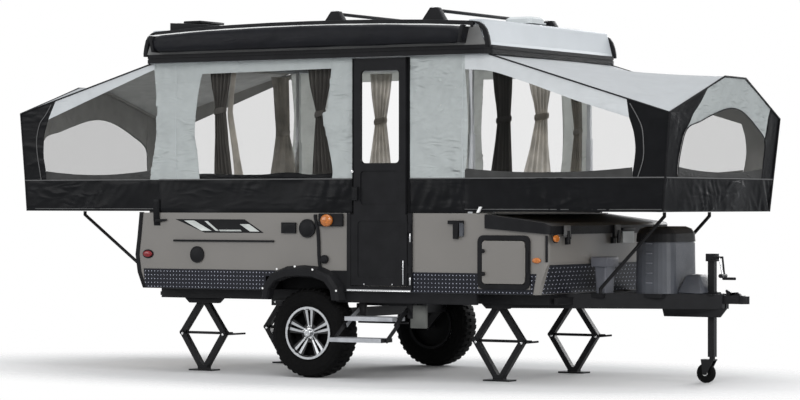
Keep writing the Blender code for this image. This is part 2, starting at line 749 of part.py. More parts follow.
# Front trunk lid with its two draw latches
run = (TUB_FRONT - TRUNK_BACK)
drop = TRUNK_TOP_BACK - TRUNK_TOP_FRONT
lid_back = TRUNK_BACK + SEAT
lid_front = TUB_FRONT + LID_OVER
skirt_back = TRUNK_TOP_BACK + SEAT
skirt_front = TRUNK_TOP_FRONT - drop * LID_OVER / run + SEAT
outer = [(lid_back, skirt_back), (lid_front, skirt_front), (lid_front, LID_TOP_FRONT - 0.020),
         (lid_front - 0.030, LID_TOP_FRONT), (lid_back, LID_TOP_BACK)]
inner = [(lid_back + 0.025, skirt_back - 0.05), (lid_front - 0.034, skirt_front - 0.05),
         (lid_front - 0.034, LID_TOP_FRONT - 0.028), (lid_back + 0.025, LID_TOP_BACK - 0.026)]
lid_half = SIDE_Y + LID_OVER
lid_plan = rounded((lid_back - 0.2, lid_front), (-lid_half, lid_half), 0.055, 4)
trunk_lid = node("trunk_lid", "black", [prism("y", outer, -lid_half, lid_half)],
                 keeps=[prism("z", lid_plan, TUB_KICK_Z, LID_TOP_BACK + 0.1)],
                 cuts=[prism("y", inner, -lid_half + 0.030, lid_half - 0.030)])
for y in LATCH_Y:
    combined(trunk_lid, [
        box((lid_front - 0.010, lid_front + 0.014), around(y, 0.034), (1.100, 1.205)),
        box((TUB_FRONT + 0.001, lid_front + 0.004), around(y, 0.046), (1.060, 1.110)),
    ], "UNION")

# Roof
half = ROOF_W / 2
across = [
    (-half, ROOF_Z), (half, ROOF_Z), (half, ROOF_SIDE_TOP - 0.035), (half - 0.030, ROOF_SIDE_TOP),
    (half - 0.110, ROOF_EDGE), (half * 0.5, ROOF_CROWN - 0.012), (0, ROOF_CROWN),
    (-half * 0.5, ROOF_CROWN - 0.012), (-half + 0.110, ROOF_EDGE),
    (-half + 0.030, ROOF_SIDE_TOP), (-half, ROOF_SIDE_TOP - 0.035),
]
side_line = [
    (ROOF_X[0], ROOF_Z), (ROOF_X[1], ROOF_Z), (ROOF_X[1], ROOF_Z + TRIM_H),
    (ROOF_X[1] - ROOF_SLANT, ROOF_EDGE - 0.010), (ROOF_X[1] - ROOF_SLANT - 0.150, ROOF_CROWN + 0.01),
    (ROOF_X[0] + ROOF_SLANT + 0.150, ROOF_CROWN + 0.01), (ROOF_X[0] + ROOF_SLANT, ROOF_EDGE - 0.010),
    (ROOF_X[0], ROOF_Z + TRIM_H),
]
roof_plan = rounded(ROOF_X, (-half, half), 0.060, 4)
cavity_x = (ROOF_X[0] + ROOF_WALL + ROOF_SLANT * 0.7, ROOF_X[1] - ROOF_WALL - ROOF_SLANT * 0.7)
cavity = box(cavity_x, (-half + ROOF_WALL + 0.030, half - ROOF_WALL - 0.030),
             (ROOF_Z + 0.025, ROOF_EDGE - ROOF_WALL))
throat = box((ROOF_X[0] + ROOF_FLANGE + 0.05, ROOF_X[1] - ROOF_FLANGE - 0.05),
             (-half + ROOF_FLANGE + 0.035, half - ROOF_FLANGE - 0.035), (ROOF_Z - 0.1, ROOF_Z + 0.1))
node("roof_shell", "roof", [prism("x", across, ROOF_X[0] - 0.1, ROOF_X[1] + 0.1)],
     keeps=[prism("y", side_line, -2, 2), prism("z", roof_plan, ROOF_Z - 0.1, ROOF_CROWN + 0.1)],
     cuts=[cavity, throat])
gap_plan = rounded((ROOF_X[0] - SEAT, ROOF_X[1] + SEAT), (-half - SEAT, half + SEAT), 0.060, 4)


def trim_band(thick, low, high):
    """Solid the size of the roof's plan, grown by the trim's thickness."""
    return prism("z", rounded((ROOF_X[0] - thick, ROOF_X[1] + thick), (-half - thick, half + thick),
                              0.055 + thick, 4), low, high)


trim_top = ROOF_Z + TRIM_H - 0.002
trim_mid = ROOF_Z + TRIM_H * 0.45
node("roof_trim", "black",
     [trim_band(TRIM_T * 0.6, ROOF_Z, trim_top), trim_band(TRIM_T, ROOF_Z, trim_mid),
      trim_band(TRIM_T, trim_mid + TRIM_GROOVE, trim_top)],
     cuts=[prism("z", gap_plan, ROOF_Z - 0.1, trim_top + 0.1)])

# Awning bag and its rail
bag_back = -half - SEAT
bag = rounded((bag_back - AWNING_T, bag_back), (AWNING_Z[0], AWNING_Z[1] - 0.016), 0.056, 6)
node("awning_bag", "awning",
     [prism("x", bag, *AWNING_X),
      box((AWNING_X[0] - 0.020, AWNING_X[1] + 0.020), (bag_back - AWNING_RAIL[0], bag_back),
          (AWNING_Z[1] - AWNING_RAIL[1], AWNING_Z[1]))])

# Roof cross bars
def roof_top(y):
    """Height of the roof's surface at this place across it."""
    table = [(0, ROOF_CROWN), (half * 0.5, ROOF_CROWN - 0.012), (half - 0.110, ROOF_EDGE),
             (half - 0.030, ROOF_SIDE_TOP)]
    y = abs(y)
    for (y0, z0), (y1, z1) in zip(table, table[1:]):
        if y <= y1:
            return z0 + (z1 - z0) * (y - y0) / (y1 - y0)
    return table[-1][1]


for x, label in zip(BAR_X, ("rear", "front")):
    foot_y = (half - 0.230, half - 0.130)
    bar_z = ROOF_CROWN + BAR_LIFT
    parts = [box(around(x, BAR_W), (-half + 0.120, half - 0.120), (bar_z - BAR_T / 2, bar_z + BAR_T / 2))]
    for side in (-1, 1):
        line = [(side * foot_y[0], roof_top(foot_y[0]) + 2 * SEAT),
                (side * foot_y[1], roof_top(foot_y[1]) + 2 * SEAT),
                (side * (foot_y[1] - 0.010), bar_z), (side * (foot_y[0] + 0.020), bar_z)]
        parts.append(loft([[(x + w, u, v) for u, v in line] for w in (-0.060, 0.060)]))
    node(f"roof_bar_{label}", "black", parts)
vent_rings = []
for rise, shrink in ((SEAT, 0), (0.010, 0), (0.010, 0.014), (VENT_H - 0.018, 0.014), (VENT_H, 0.036)):
    plan = rounded((VENT_X[0] + shrink, VENT_X[1] - shrink), (-VENT_HALF + shrink, VENT_HALF - shrink), 0.038)
    vent_rings.append([(a, b, ROOF_CROWN + rise) for a, b in plan])
node("roof_vent", "pale", [loft(vent_rings)])

# Lift posts
for x, along_label in zip(POST_X, ("rear", "front")):
    for side, label in ((-1, "right"), (1, "left")):
        node(f"post_{along_label}_{label}", "alloy",
             [box(around(x, POST), around(side * POST_Y, POST), (TUB_TOP + SEAT, ROOF_Z - SEAT)),
              box(around(x, POST + 0.012), around(side * POST_Y, POST + 0.010),
                  (TUB_TOP + SEAT, SLEEVE_TOP))])

# Canvas side walls
wall_z = (TUB_TOP + SEAT, ROOF_Z - SEAT)
for side, label in ((-1, "right"), (1, "left")):
    low, high = sorted((side * (WALL_Y - CLOTH), side * WALL_Y))
    cuts = [prism("y", rounded(WINDOW_X, WINDOW_Z, 0.030), low - 0.1, high + 0.1)]
    if side < 0:
        cuts.append(box((leaf_x[0] - SLIP, leaf_x[1] + SLIP + 0.004), (low - 0.1, high + 0.1),
                        (1, 1.330)))
        cuts.append(box((upper_x[0] - SLIP, upper_x[1] + SLIP), (low - 0.1, high + 0.1),
                        (1, DOOR_TOP + SLIP - 0.002)))
    else:
        cuts.append(prism("y", rounded(GALLEY_WINDOW_X, WINDOW_Z, 0.030), low - 0.1, high + 0.1))
    node(f"canvas_wall_{label}", "canvas", [box(CABIN_X, (low, high), wall_z)], cuts=cuts)

# Bed ends: deck, mattress, bow and canvas
def bow_ring(bow, grow, foot_x, foot_half, foot_z):
    """Points of a bow's outline, from the near foot over the top to the far foot."""
    corner_x, corner_y, corner_z, top_x, top_y, top_z = bow
    way = 1 if corner_x > 0 else -1
    right = [(foot_x + way * grow, foot_half + grow, foot_z),
             (corner_x + way * grow, corner_y + grow, corner_z + grow * 0.7),
             (top_x + way * grow, top_y, top_z + grow)]
    return [(x, -y, z) for x, y, z in right] + [(x, y, z) for x, y, z in reversed(right)]


for way, label, bow, deck_end, travel in (
    (1, "front", FRONT_BOW, FRONT_DECK_END, BED_TRAVEL_FRONT),
    (-1, "rear", REAR_BOW, REAR_DECK_END, BED_TRAVEL_REAR),
):
    inner_end = (TRUNK_BACK - DECK_LAP) if way > 0 else (TUB_BACK + TUB_WALL + DECK_LAP)
    low, high = sorted((inner_end, deck_end))
    node(f"bed_deck_{label}", "ply",
         [box((low, high), (-DECK_HALF, DECK_HALF), (DECK_Z, DECK_Z + DECK_T)),
          box(sorted((deck_end, deck_end - way * 0.030)), (-DECK_HALF, DECK_HALF),
              (DECK_Z, DECK_Z + DECK_T + 0.020))])
    low, high = sorted((inner_end + way * 0.02, deck_end - way * 0.055))
    bed_rings = []
    for rise, shrink in ((SEAT, 0.014), (0.018, 0), (MATTRESS_T - 0.022, 0), (MATTRESS_T, 0.024)):
        plan = rounded((low + shrink, high - shrink),
                       (-DECK_HALF + 0.050 + shrink, DECK_HALF - 0.050 - shrink), 0.060)
        bed_rings.append([(a, b, DECK_Z + DECK_T + rise) for a, b in plan])
    node(f"mattress_{label}", "foam", [loft(bed_rings)])
    foot_x = deck_end - way * 0.015
    foot_half = DECK_HALF - 0.020
    inset = CLOTH + 0.005 + BOW_R
    line = bow_ring(bow, -inset, foot_x + way * inset, foot_half + inset,
                    DECK_Z + DECK_T + 0.040)
    base_z = DECK_Z + DECK_T + 0.020 + SEAT
    line = [(*line[0][:2], base_z), *line, (*line[-1][:2], base_z)]
    node(f"bow_{label}", "alloy", [tube(line, BOW_R, 10)])

    root = CABIN_X[1] + SEAT if way > 0 else CABIN_X[0] - SEAT
    roof_end = ROOF_X[1] - 0.010 if way > 0 else ROOF_X[0] + 0.010

    def cloth_ring(x, half_w, top):
        points = [(x, half_w, DECK_Z), (x, half_w, top - 0.004), (x, half_w * 0.97, top)]
        return [(a, -b, c) for a, b, c in points] + [(a, b, c) for a, b, c in reversed(points)]

    top = ROOF_Z - 2 * SEAT
    outer = [cloth_ring(root, WALL_Y, top), cloth_ring(roof_end, WALL_Y, top),
             bow_ring(bow, 0, deck_end + way * 0.012, 0.970, DECK_Z)]
    inner = []
    for ring, push in zip(outer, (way * -0.05, 0, -way * CLOTH)):
        points = []
        for i, p in enumerate(ring):
            x, y, z = p
            y -= math.copysign(CLOTH, y)
            z += -0.05 if i in (0, 5) else -CLOTH
            points.append((x + push, y, z))
        inner.append(points)

    def eave(x):
        """Height of the side window's top edge, a band below the canvas's eave."""
        part = (x - roof_end) / (bow[0] - roof_end)
        return ROOF_Z - 0.110 + max(0, part) * (bow[2] - ROOF_Z)

    lo_x, hi_x = sorted((root + way * 0.050, bow[0] - way * 0.300))
    panel = [(lo_x, END_WINDOW_Z), (hi_x, END_WINDOW_Z), (hi_x, eave(hi_x)),
             (roof_end, eave(roof_end)), (lo_x, eave(lo_x))]
    end_window = rounded((-0.560, 0.560), (END_WINDOW_Z + 0.040, ROOF_Z - END_WINDOW_TOP), 0.060)
    x_lo, x_hi = sorted((deck_end - way * 0.2, deck_end + way * 0.5))
    under_roof = box(sorted((root - way * 0.1, roof_end - way * 0.030)),
                     (-WALL_Y + CLOTH + 0.001, WALL_Y - CLOTH - 0.001), (top - 0.06, top + 0.05))
    node(f"canvas_{label}", "canvas", [loft(outer, True)],
         cuts=[loft(inner, True), under_roof, prism("y", panel, -2, 2), prism("x", end_window, x_lo, x_hi)])

    for side, hand in ((-1, "right"), (1, "left")):
        if way > 0:
            low_x, high_x = STRUT_FRONT_X
            y = side * beam_y(low_x)
            base = a_top + SEAT
        else:
            low_x, high_x = STRUT_REAR_X, STRUT_REAR_TOP_X
            y = side * STRUT_REAR_Y
            base = FRAME_Z + 0.040 + SEAT
        top_z = DECK_Z - SLIP
        path = [(low_x, y, base), (low_x, y, base + 0.035), (high_x, y, top_z - 0.030),
                (high_x, y, top_z)]
        node(f"bed_strut_{label}_{hand}", "alloy", [tube(path, STRUT_R, 8)], pivot=path[0])

# Stabiliser jacks
for x, along_label in zip(JACK_X, ("rear", "front")):
    for side, label in ((-1, "right"), (1, "left")):
        y = side * JACK_Y
        top = FRAME_Z - SEAT
        mid_z = top / 2 + 0.010
        hx = JACK_HALF
        parts = [
            box(around(x, JACK_FOOT), around(y, 0.120), (0, 0.012)),
            box(around(x, 0.150), around(y, 0.074), (top - 0.014, top)),
            rod((x - hx - 0.012, y, mid_z), (x + hx + 0.075, y, mid_z), 0.011, 8),
        ]
        for way in (-1, 1):
            for z in (0.028, top - 0.030):
                a = Vector((x + way * 0.020, 0, z))
                b = Vector((x + way * hx, 0, mid_z))
                run = (b - a).normalized()
                lift = Vector((-run.z, 0, run.x)) * JACK_ARM / 2
                a -= run * 0.020
                b += run * 0.014
                line = [(p.x, p.z) for p in (a - lift, b - lift, b + lift, a + lift)]
                parts.append(prism("y", line, y - JACK_T / 2, y + JACK_T / 2))
            parts.append(rod((x + way * hx, y - 0.034, mid_z), (x + way * hx, y + 0.034, mid_z), 0.020, 12))
        for z0, z1 in ((0, 0.050), (top - 0.050, top)):
            parts.append(box(around(x, 0.090), around(y, 0.060), (z0, z1)))
        node(f"jack_{along_label}_{label}", "steel", parts)

# Tongue jack, caster and coupler
jx = TONGUE_JACK_X
head_z = TONGUE_TUBE_Z[1]
node("tongue_jack", "charcoal", [
    box(around(jx, TONGUE_TUBE), around(0, TONGUE_TUBE), TONGUE_TUBE_Z),
    prism("z", rounded(around(jx, 0.088), around(0, 0.080), 0.018), head_z, head_z + 0.058),
    box(around(jx, 0.110), around(0, 0.080), (a_top + SEAT, a_top + 0.012)),
    tube([(jx + 0.040, 0, head_z + 0.030), (jx + 0.085, 0, head_z + 0.030),
          (jx + 0.100, 0, head_z - 0.105)], 0.008, 8),
    tube([(jx + 0.098, -0.070, head_z - 0.110), (jx + 0.098, 0.030, head_z - 0.110)], 0.016, 10),
])
stem_z = TONGUE_TUBE_Z[0]
wheel_x = jx - CASTER_TRAIL
cheek_y = CASTER_W / 2 + 0.008
cheek = [(wheel_x - 0.016, CASTER_R - 0.012), (wheel_x + 0.016, CASTER_R - 0.012),
         (jx + 0.026, stem_z - 0.020), (wheel_x - 0.030, stem_z - 0.020)]
node("caster_fork", "steel", [
    rod((jx, 0, stem_z - SEAT), (jx, 0, stem_z - 0.020), 0.022, 16),
    box((jx - CASTER_TRAIL - 0.030, jx + 0.026), around(0, CASTER_W + 0.026),
        (stem_z - 0.028, stem_z - 0.018)),
    prism("y", cheek, cheek_y, cheek_y + FORK_T),
    prism("y", cheek, -cheek_y - FORK_T, -cheek_y),
    rod((wheel_x, -cheek_y - 0.010, CASTER_R), (wheel_x, cheek_y + 0.010, CASTER_R), 0.006, 12),
], pivot=(jx, 0, stem_z))
cw = CASTER_W / 2
profile = [
    (-cw, 0.0064), (-cw, 0.022), (-cw + 0.010, 0.030), (-cw + 0.004, 0.050),
    (-cw + 0.006, CASTER_R - 0.006), (-cw + 0.014, CASTER_R), (cw - 0.014, CASTER_R),
    (cw - 0.006, CASTER_R - 0.006), (cw - 0.004, 0.050), (cw - 0.010, 0.030), (cw, 0.022),
    (cw, 0.0064),
]
hub = (wheel_x, 0, CASTER_R)
node("caster_wheel", "rubber", [turned(profile, hub, "y", CASTER_STEPS)], pivot=hub)
cz = (a_top - 0.075, a_top - 0.012)
ball_x = COUPLER_NOSE - 0.045
coupler = [
    box((A_FRAME_NOSE + SEAT, ball_x), around(0, COUPLER_W), cz),
    rod((ball_x, 0, cz[0]), (ball_x, 0, cz[1] - 0.004), 0.045, 24),
    prism("y", [(A_FRAME_NOSE + 0.020, cz[1] - 0.010), (ball_x - 0.010, cz[1] - 0.010),
                (ball_x - 0.030, cz[1] + 0.016), (A_FRAME_NOSE + 0.055, cz[1] + 0.022),
                (A_FRAME_NOSE + 0.010, cz[1] + 0.046), (A_FRAME_NOSE + 0.004, cz[1] + 0.036)],
          -0.012, 0.012),
]
node("coupler", "steel", coupler, cuts=[
    rod((ball_x, 0, cz[0] - 0.1), (ball_x, 0, cz[0] + 0.036), COUPLER_BALL_R, 24),
    box((A_FRAME_NOSE - 0.1, ball_x), around(0, COUPLER_W - 0.016), (cz[0] - 0.1, cz[1] - 0.010)),
])

# What rides on the tongue
plate_z = a_top + SEAT
lid_z = LP_TOP - LP_LID
lp_rings = []
for z, shrink in (
    (plate_z, 0), (lid_z - LP_SEAM, 0.006), (lid_z - LP_SEAM, 0.014), (lid_z, 0.014), (lid_z, 0.002),
    (LP_TOP - 0.055, 0.008), (LP_TOP - 0.018, 0.032), (LP_TOP, 0.078),
):
    u = (LP_X[0] + shrink, LP_X[1] - shrink)
    v = (-LP_HALF_Y + shrink, LP_HALF_Y - shrink)
    lp_rings.append([(a, b, z) for a, b in rounded(u, v, LP_ROUND - shrink, 6)])
node("gas_cover", "charcoal", [loft(lp_rings)])
lid_z = BATTERY_TOP - BATTERY_LID
box_rings = []
for z, grow in (
    (plate_z, -0.010), (lid_z, 0), (lid_z, 0.007), (BATTERY_TOP - 0.012, 0.005), (BATTERY_TOP, -0.006),
):
    u = around(BATTERY[0], 0.104 + 2 * grow)
    v = around(BATTERY[1], 0.164 + 2 * grow)
    box_rings.append([(a, b, z) for a, b in rounded(u, v, 0.016, 3)])
node("battery_box", "charcoal", [loft(box_rings)])
node("tongue_cover", "charcoal",
     [prism("z", rounded(TONGUE_COVER_X, (-0.150, 0.150), 0.025), plate_z, TONGUE_COVER_TOP)])

# Entry steps
px, pz = STEP_PIVOT
hang_y = (-RAIL_Y - RAIL_W / 2 - SEAT - 0.090, -RAIL_Y - RAIL_W / 2 - SEAT)
arm_x = (STEP_X[0] + STEP_ARM + SLIP, STEP_X[1] - STEP_ARM - SLIP)
lug_x = (arm_x[0] - SLIP, arm_x[1] + SLIP)
parts = [box((lug_x[0] - STEP_LUG, lug_x[1] + STEP_LUG), (hang_y[1] - 0.006, hang_y[1]),
             (pz + 0.010, FRAME_Z + 0.060))]
for a in (lug_x[0] - STEP_LUG, lug_x[1]):
    parts.append(box((a, a + STEP_LUG), (STEP_PIVOT[0] - 0.025, hang_y[1]), (pz - 0.030, pz + 0.030)))
node("step_hanger", "steel", parts)
P1 = Vector((0, STEP_PIVOT[0], STEP_PIVOT[1]))
P2 = Vector((0, -STEP_UPPER_EDGE + 0.045, STEP_UPPER_Z - STEP_T - 0.030))


def bar(a, b, width, x):
    """Flat link between two points, seen along X."""
    a, b = Vector(a), Vector(b)
    run = (b - a).normalized()
    lift = Vector((0, -run.z, run.y)) * width / 2
    a, b = a - run * width * 0.5, b + run * width * 0.5
    line = [(p.y, p.z) for p in (a - lift, b - lift, b + lift, a + lift)]
    return prism("x", line, x[0], x[1])


def tray(x, y, top):
    """What is cut from below a tread, so that its edges are turned down."""
    return box((x[0] + STEP_SHEET, x[1] - STEP_SHEET), (y[0] + STEP_SHEET, y[1] - STEP_SHEET),
               (top - 0.1, top - STEP_SHEET))


tread_x = (arm_x[0] + STEP_ARM - 0.001, arm_x[1] - STEP_ARM + 0.001)
tread_y = (-STEP_UPPER_EDGE, -STEP_UPPER_EDGE + STEP_DEPTH)
parts = [box(tread_x, tread_y, (STEP_UPPER_Z - STEP_T, STEP_UPPER_Z))]
for x in ((arm_x[0], arm_x[0] + STEP_ARM), (arm_x[1] - STEP_ARM, arm_x[1])):
    parts.append(bar(P1, (0, -STEP_UPPER_EDGE + STEP_DEPTH * 0.5, STEP_UPPER_Z - STEP_T * 0.5), 0.034, x))
    parts.append(bar((0, -STEP_UPPER_EDGE + STEP_DEPTH * 0.6, STEP_UPPER_Z - STEP_T * 0.5), P2, 0.034, x))
for a, b in ((lug_x[0] + SEAT, arm_x[0] + 0.001), (arm_x[1] - 0.001, lug_x[1] - SEAT)):
    parts.append(rod((a, P1.y, P1.z), (b, P1.y, P1.z), STEP_PIN_R, 12))
node("step_upper", "alloy", parts, cuts=[tray(tread_x, tread_y, STEP_UPPER_Z)], pivot=(0, P1.y, P1.z))

# The lower step's arms pass outside the upper step's, so that it folds up before the tread
tread_x = (STEP_X[0] + STEP_ARM - 0.001, STEP_X[1] - STEP_ARM + 0.001)
tread_y = (-STEP_LOWER_EDGE, -STEP_LOWER_EDGE + STEP_DEPTH * 0.9)
parts = [box(tread_x, tread_y, (STEP_LOWER_Z - STEP_T, STEP_LOWER_Z))]
for x in ((STEP_X[0], STEP_X[0] + STEP_ARM), (STEP_X[1] - STEP_ARM, STEP_X[1])):
    parts.append(bar(P2, (0, -STEP_LOWER_EDGE + STEP_DEPTH * 0.45, STEP_LOWER_Z - STEP_T * 0.5), 0.030, x))
for a, b in ((STEP_X[0] + STEP_ARM - 0.001, arm_x[0] - SEAT),
             (arm_x[1] + SEAT, STEP_X[1] - STEP_ARM + 0.001)):
    parts.append(rod((a, P2.y, P2.z), (b, P2.y, P2.z), STEP_PIN_R, 12))
node("step_lower", "alloy", parts, cuts=[tray(tread_x, tread_y, STEP_LOWER_Z)], pivot=(0, P2.y, P2.z))

# Furniture that shows through the door and windows
back_y = inner_y - SEAT
galley_y = back_y - GALLEY_DEPTH
node("galley", "cabinet",
     [box(GALLEY_X, (galley_y + 0.020, back_y), (floor_z + SEAT, GALLEY_TOP - WORKTOP_T + 0.001)),
      box((GALLEY_X[0] - 0.020, GALLEY_X[1] + 0.020), (galley_y, back_y),
          (GALLEY_TOP - WORKTOP_T, GALLEY_TOP))],
     cuts=[box((arch_x[0] - 0.015 - SEAT, arch_x[1] + 0.015 + SEAT),
               (SIDE_Y - WELL_DEPTH - 0.015 - SEAT, 2), (0, well_top + 0.015 + SEAT))])
# Two benches with cushions on one plinth, and a table between them
seats = [box(DINETTE_X, (-DINETTE_HALF, DINETTE_HALF), (floor_z + SEAT, floor_z + PLINTH_H))]
for side in (-1, 1):
    low, high = sorted((side * DINETTE_HALF, side * (DINETTE_HALF - BENCH_W)))
    seats.append(box(DINETTE_X, (low, high), (floor_z + SEAT, BENCH_TOP)))
    cushion = rounded((DINETTE_X[0] + 0.010, DINETTE_X[1] + 0.020), (low - 0.010, high + 0.010), 0.030)
    seats.append(prism("z", cushion, BENCH_TOP - 0.001, BENCH_TOP + CUSHION_T))
table_x = (DINETTE_X[0] + 0.030, DINETTE_X[1] - 0.040)
leg = (sum(table_x) / 2, 0)
seats.append(rod((*leg, floor_z + PLINTH_H - 0.010), (*leg, TABLE_TOP - 0.010), 0.030))
seats.append(prism("z", rounded(table_x, (-0.360, 0.360), 0.050), TABLE_TOP - TABLE_T, TABLE_TOP))
node("dinette", "cabinet", seats)

# Tail lamps
for side, label in ((-1, "right"), (1, "left")):
    x = TUB_BACK - TUB_BULGE - SEAT
    node(f"tail_lamp_{label}", "red",
         [prism("x", rounded(around(side * 0.860, 0.090), (0.880, 1.010), 0.020), x - 0.022, x)])
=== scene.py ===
import math

import bmesh
import bpy
import numpy as np
from mathutils import Matrix, Vector, noise


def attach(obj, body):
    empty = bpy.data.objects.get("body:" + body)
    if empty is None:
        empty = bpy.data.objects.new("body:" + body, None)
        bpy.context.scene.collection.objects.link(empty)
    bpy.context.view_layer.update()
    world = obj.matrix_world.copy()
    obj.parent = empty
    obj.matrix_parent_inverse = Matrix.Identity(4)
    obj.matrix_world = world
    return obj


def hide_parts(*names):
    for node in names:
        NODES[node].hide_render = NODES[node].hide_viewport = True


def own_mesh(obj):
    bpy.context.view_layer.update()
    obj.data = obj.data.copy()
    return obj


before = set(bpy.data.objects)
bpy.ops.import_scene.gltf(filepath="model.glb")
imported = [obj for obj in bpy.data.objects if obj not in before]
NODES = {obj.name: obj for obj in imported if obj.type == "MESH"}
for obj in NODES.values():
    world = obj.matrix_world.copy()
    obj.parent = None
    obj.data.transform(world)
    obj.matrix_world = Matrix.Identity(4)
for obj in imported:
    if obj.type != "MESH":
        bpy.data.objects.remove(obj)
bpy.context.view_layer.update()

# Lengths here are in metres from the axle on the floor; the row's frame sits a little aft and aside.
ROW_X = -0.2
ROW_Y = 0.115
ROW = Matrix.Translation((ROW_X, ROW_Y, 0))

# Wheel centres as x and z in the row's frame, in which the materials read their places
WHEEL_Z = 0.352
RIM_CENTRE = (ROW_X, WHEEL_Z)
CASTER_CENTRE = (2.74, 0.076)
SPOKES = 5

CAMERA_PLACE = (12.147, -20.018, 1.366)
CAMERA_TURN = (90.08, -0.03, 30.8)
CAMERA_LENS = 128.98

# Linear colours read off the picture
TAUPE = (0.170, 0.160, 0.147)
PALE = (0.46, 0.485, 0.49)
ROOF_GREY = (0.43, 0.455, 0.475)
BLACK = (0.0095, 0.0095, 0.0105)
VINYL = (0.0050, 0.0052, 0.0060)
CLOTH = (0.47, 0.50, 0.495)
MESH_GREY = (0.045, 0.045, 0.044)
FLOOR_GREY = (0.66, 0.66, 0.66)
# curtain cloth painted lighter than it is, as painted light for the light that the shaded cabin keeps from it
DRAPE_PAINTED_BRIGHT = (0.60, 0.57, 0.52)
PLATE_PITCH = 0.031
RING_WAVES = 900.0


def graph(name):
    """New material with its shader and its node tree."""
    made = bpy.data.materials.new(name)
    made.use_nodes = True
    tree = made.node_tree
    return made, tree.nodes["Principled BSDF"], tree


def add(tree, kind, **values):
    """New node with its settings and the values of its inputs."""
    node = tree.nodes.new(kind)
    for key, value in values.items():
        if hasattr(node, key):
            setattr(node, key, value)
        else:
            node.inputs[key.replace("_", " ")].default_value = value
    return node


def math_node(tree, operation, a, b=0.0):
    """Output of a math node whose two inputs are numbers or other outputs."""
    node = add(tree, "ShaderNodeMath", operation=operation)
    for socket, value in zip(node.inputs, (a, b)):
        if isinstance(value, (int, float)):
            socket.default_value = value
        else:
            tree.links.new(value, socket)
    return node.outputs["Value"]


def surface(name, colour, rough, metal=0.0, mottle=0.10, spots=9.0, grain=0.0, grain_size=900.0,
            stretch=(1, 1, 1), coat=0.0, shine=0.5, through=0.0, wrinkle=None):
    """Plain finish with slow uneven colour and a fine grain in its bump. Cloth lets light through.

    wrinkle is the height of a cloth's creases, how many there are to a metre and how patchy they lie.
    """
    made, shader, tree = graph(name)
    place = add(tree, "ShaderNodeTexCoord")
    fit = add(tree, "ShaderNodeMapping")
    fit.inputs["Scale"].default_value = stretch
    tree.links.new(place.outputs["Object"], fit.inputs["Vector"])
    cloud = add(tree, "ShaderNodeTexNoise", Scale=spots, Detail=4.0)
    tree.links.new(fit.outputs["Vector"], cloud.inputs["Vector"])
    ramp = add(tree, "ShaderNodeMapRange")
    ramp.inputs["From Min"].default_value = 0.3
    ramp.inputs["From Max"].default_value = 0.7
    ramp.inputs["To Min"].default_value = 1 - mottle
    ramp.inputs["To Max"].default_value = 1 + mottle
    tree.links.new(cloud.outputs["Fac"], ramp.inputs["Value"])
    tint = add(tree, "ShaderNodeVectorMath", operation="SCALE")
    tint.inputs[0].default_value = colour
    tree.links.new(ramp.outputs["Result"], tint.inputs["Scale"])
    tree.links.new(tint.outputs["Vector"], shader.inputs["Base Color"])
    shader.inputs["Roughness"].default_value = rough
    shader.inputs["Metallic"].default_value = metal
    shader.inputs["Coat Weight"].default_value = coat
    shader.inputs["Specular IOR Level"].default_value = shine
    if wrinkle:
        height, often, patches = wrinkle
        slant = add(tree, "ShaderNodeMapping")
        slant.inputs["Rotation"].default_value = (0.5, 0.9, 0.4)
        slant.inputs["Scale"].default_value = (1.0, 1.0, 3.2)
        tree.links.new(place.outputs["Object"], slant.inputs["Vector"])
        crease = add(tree, "ShaderNodeTexNoise", noise_type="RIDGED_MULTIFRACTAL", Scale=often, Detail=2.0,
                     Distortion=0.6)
        tree.links.new(slant.outputs["Vector"], crease.inputs["Vector"])
        where = add(tree, "ShaderNodeTexNoise", Scale=patches, Detail=1.0)
        tree.links.new(place.outputs["Object"], where.inputs["Vector"])
        some = add(tree, "ShaderNodeMapRange")
        some.inputs["From Min"].default_value = 0.42
        some.inputs["From Max"].default_value = 0.68
        tree.links.new(where.outputs["Fac"], some.inputs["Value"])
        folds = add(tree, "ShaderNodeBump", Distance=height)
        tree.links.new(math_node(tree, "MULTIPLY", crease.outputs["Fac"], some.outputs["Result"]),
                       folds.inputs["Height"])
        tree.links.new(folds.outputs["Normal"], shader.inputs["Normal"])
    if grain:
        fine = add(tree, "ShaderNodeTexNoise", Scale=grain_size, Detail=2.0)
        tree.links.new(fit.outputs["Vector"], fine.inputs["Vector"])
        bump = add(tree, "ShaderNodeBump", Distance=grain)
        tree.links.new(fine.outputs["Fac"], bump.inputs["Height"])
        if wrinkle:
            tree.links.new(folds.outputs["Normal"], bump.inputs["Normal"])
        tree.links.new(bump.outputs["Normal"], shader.inputs["Normal"])
    if through:
        glow = add(tree, "ShaderNodeBsdfTranslucent")
        tree.links.new(tint.outputs["Vector"], glow.inputs["Color"])
        mix = add(tree, "ShaderNodeMixShader", Fac=through)
        tree.links.new(shader.outputs["BSDF"], mix.inputs[1])
        tree.links.new(glow.outputs["BSDF"], mix.inputs[2])
        tree.links.new(mix.outputs["Shader"], tree.nodes["Material Output"].inputs["Surface"])
    made.diffuse_color = (*colour, 1)
    return made


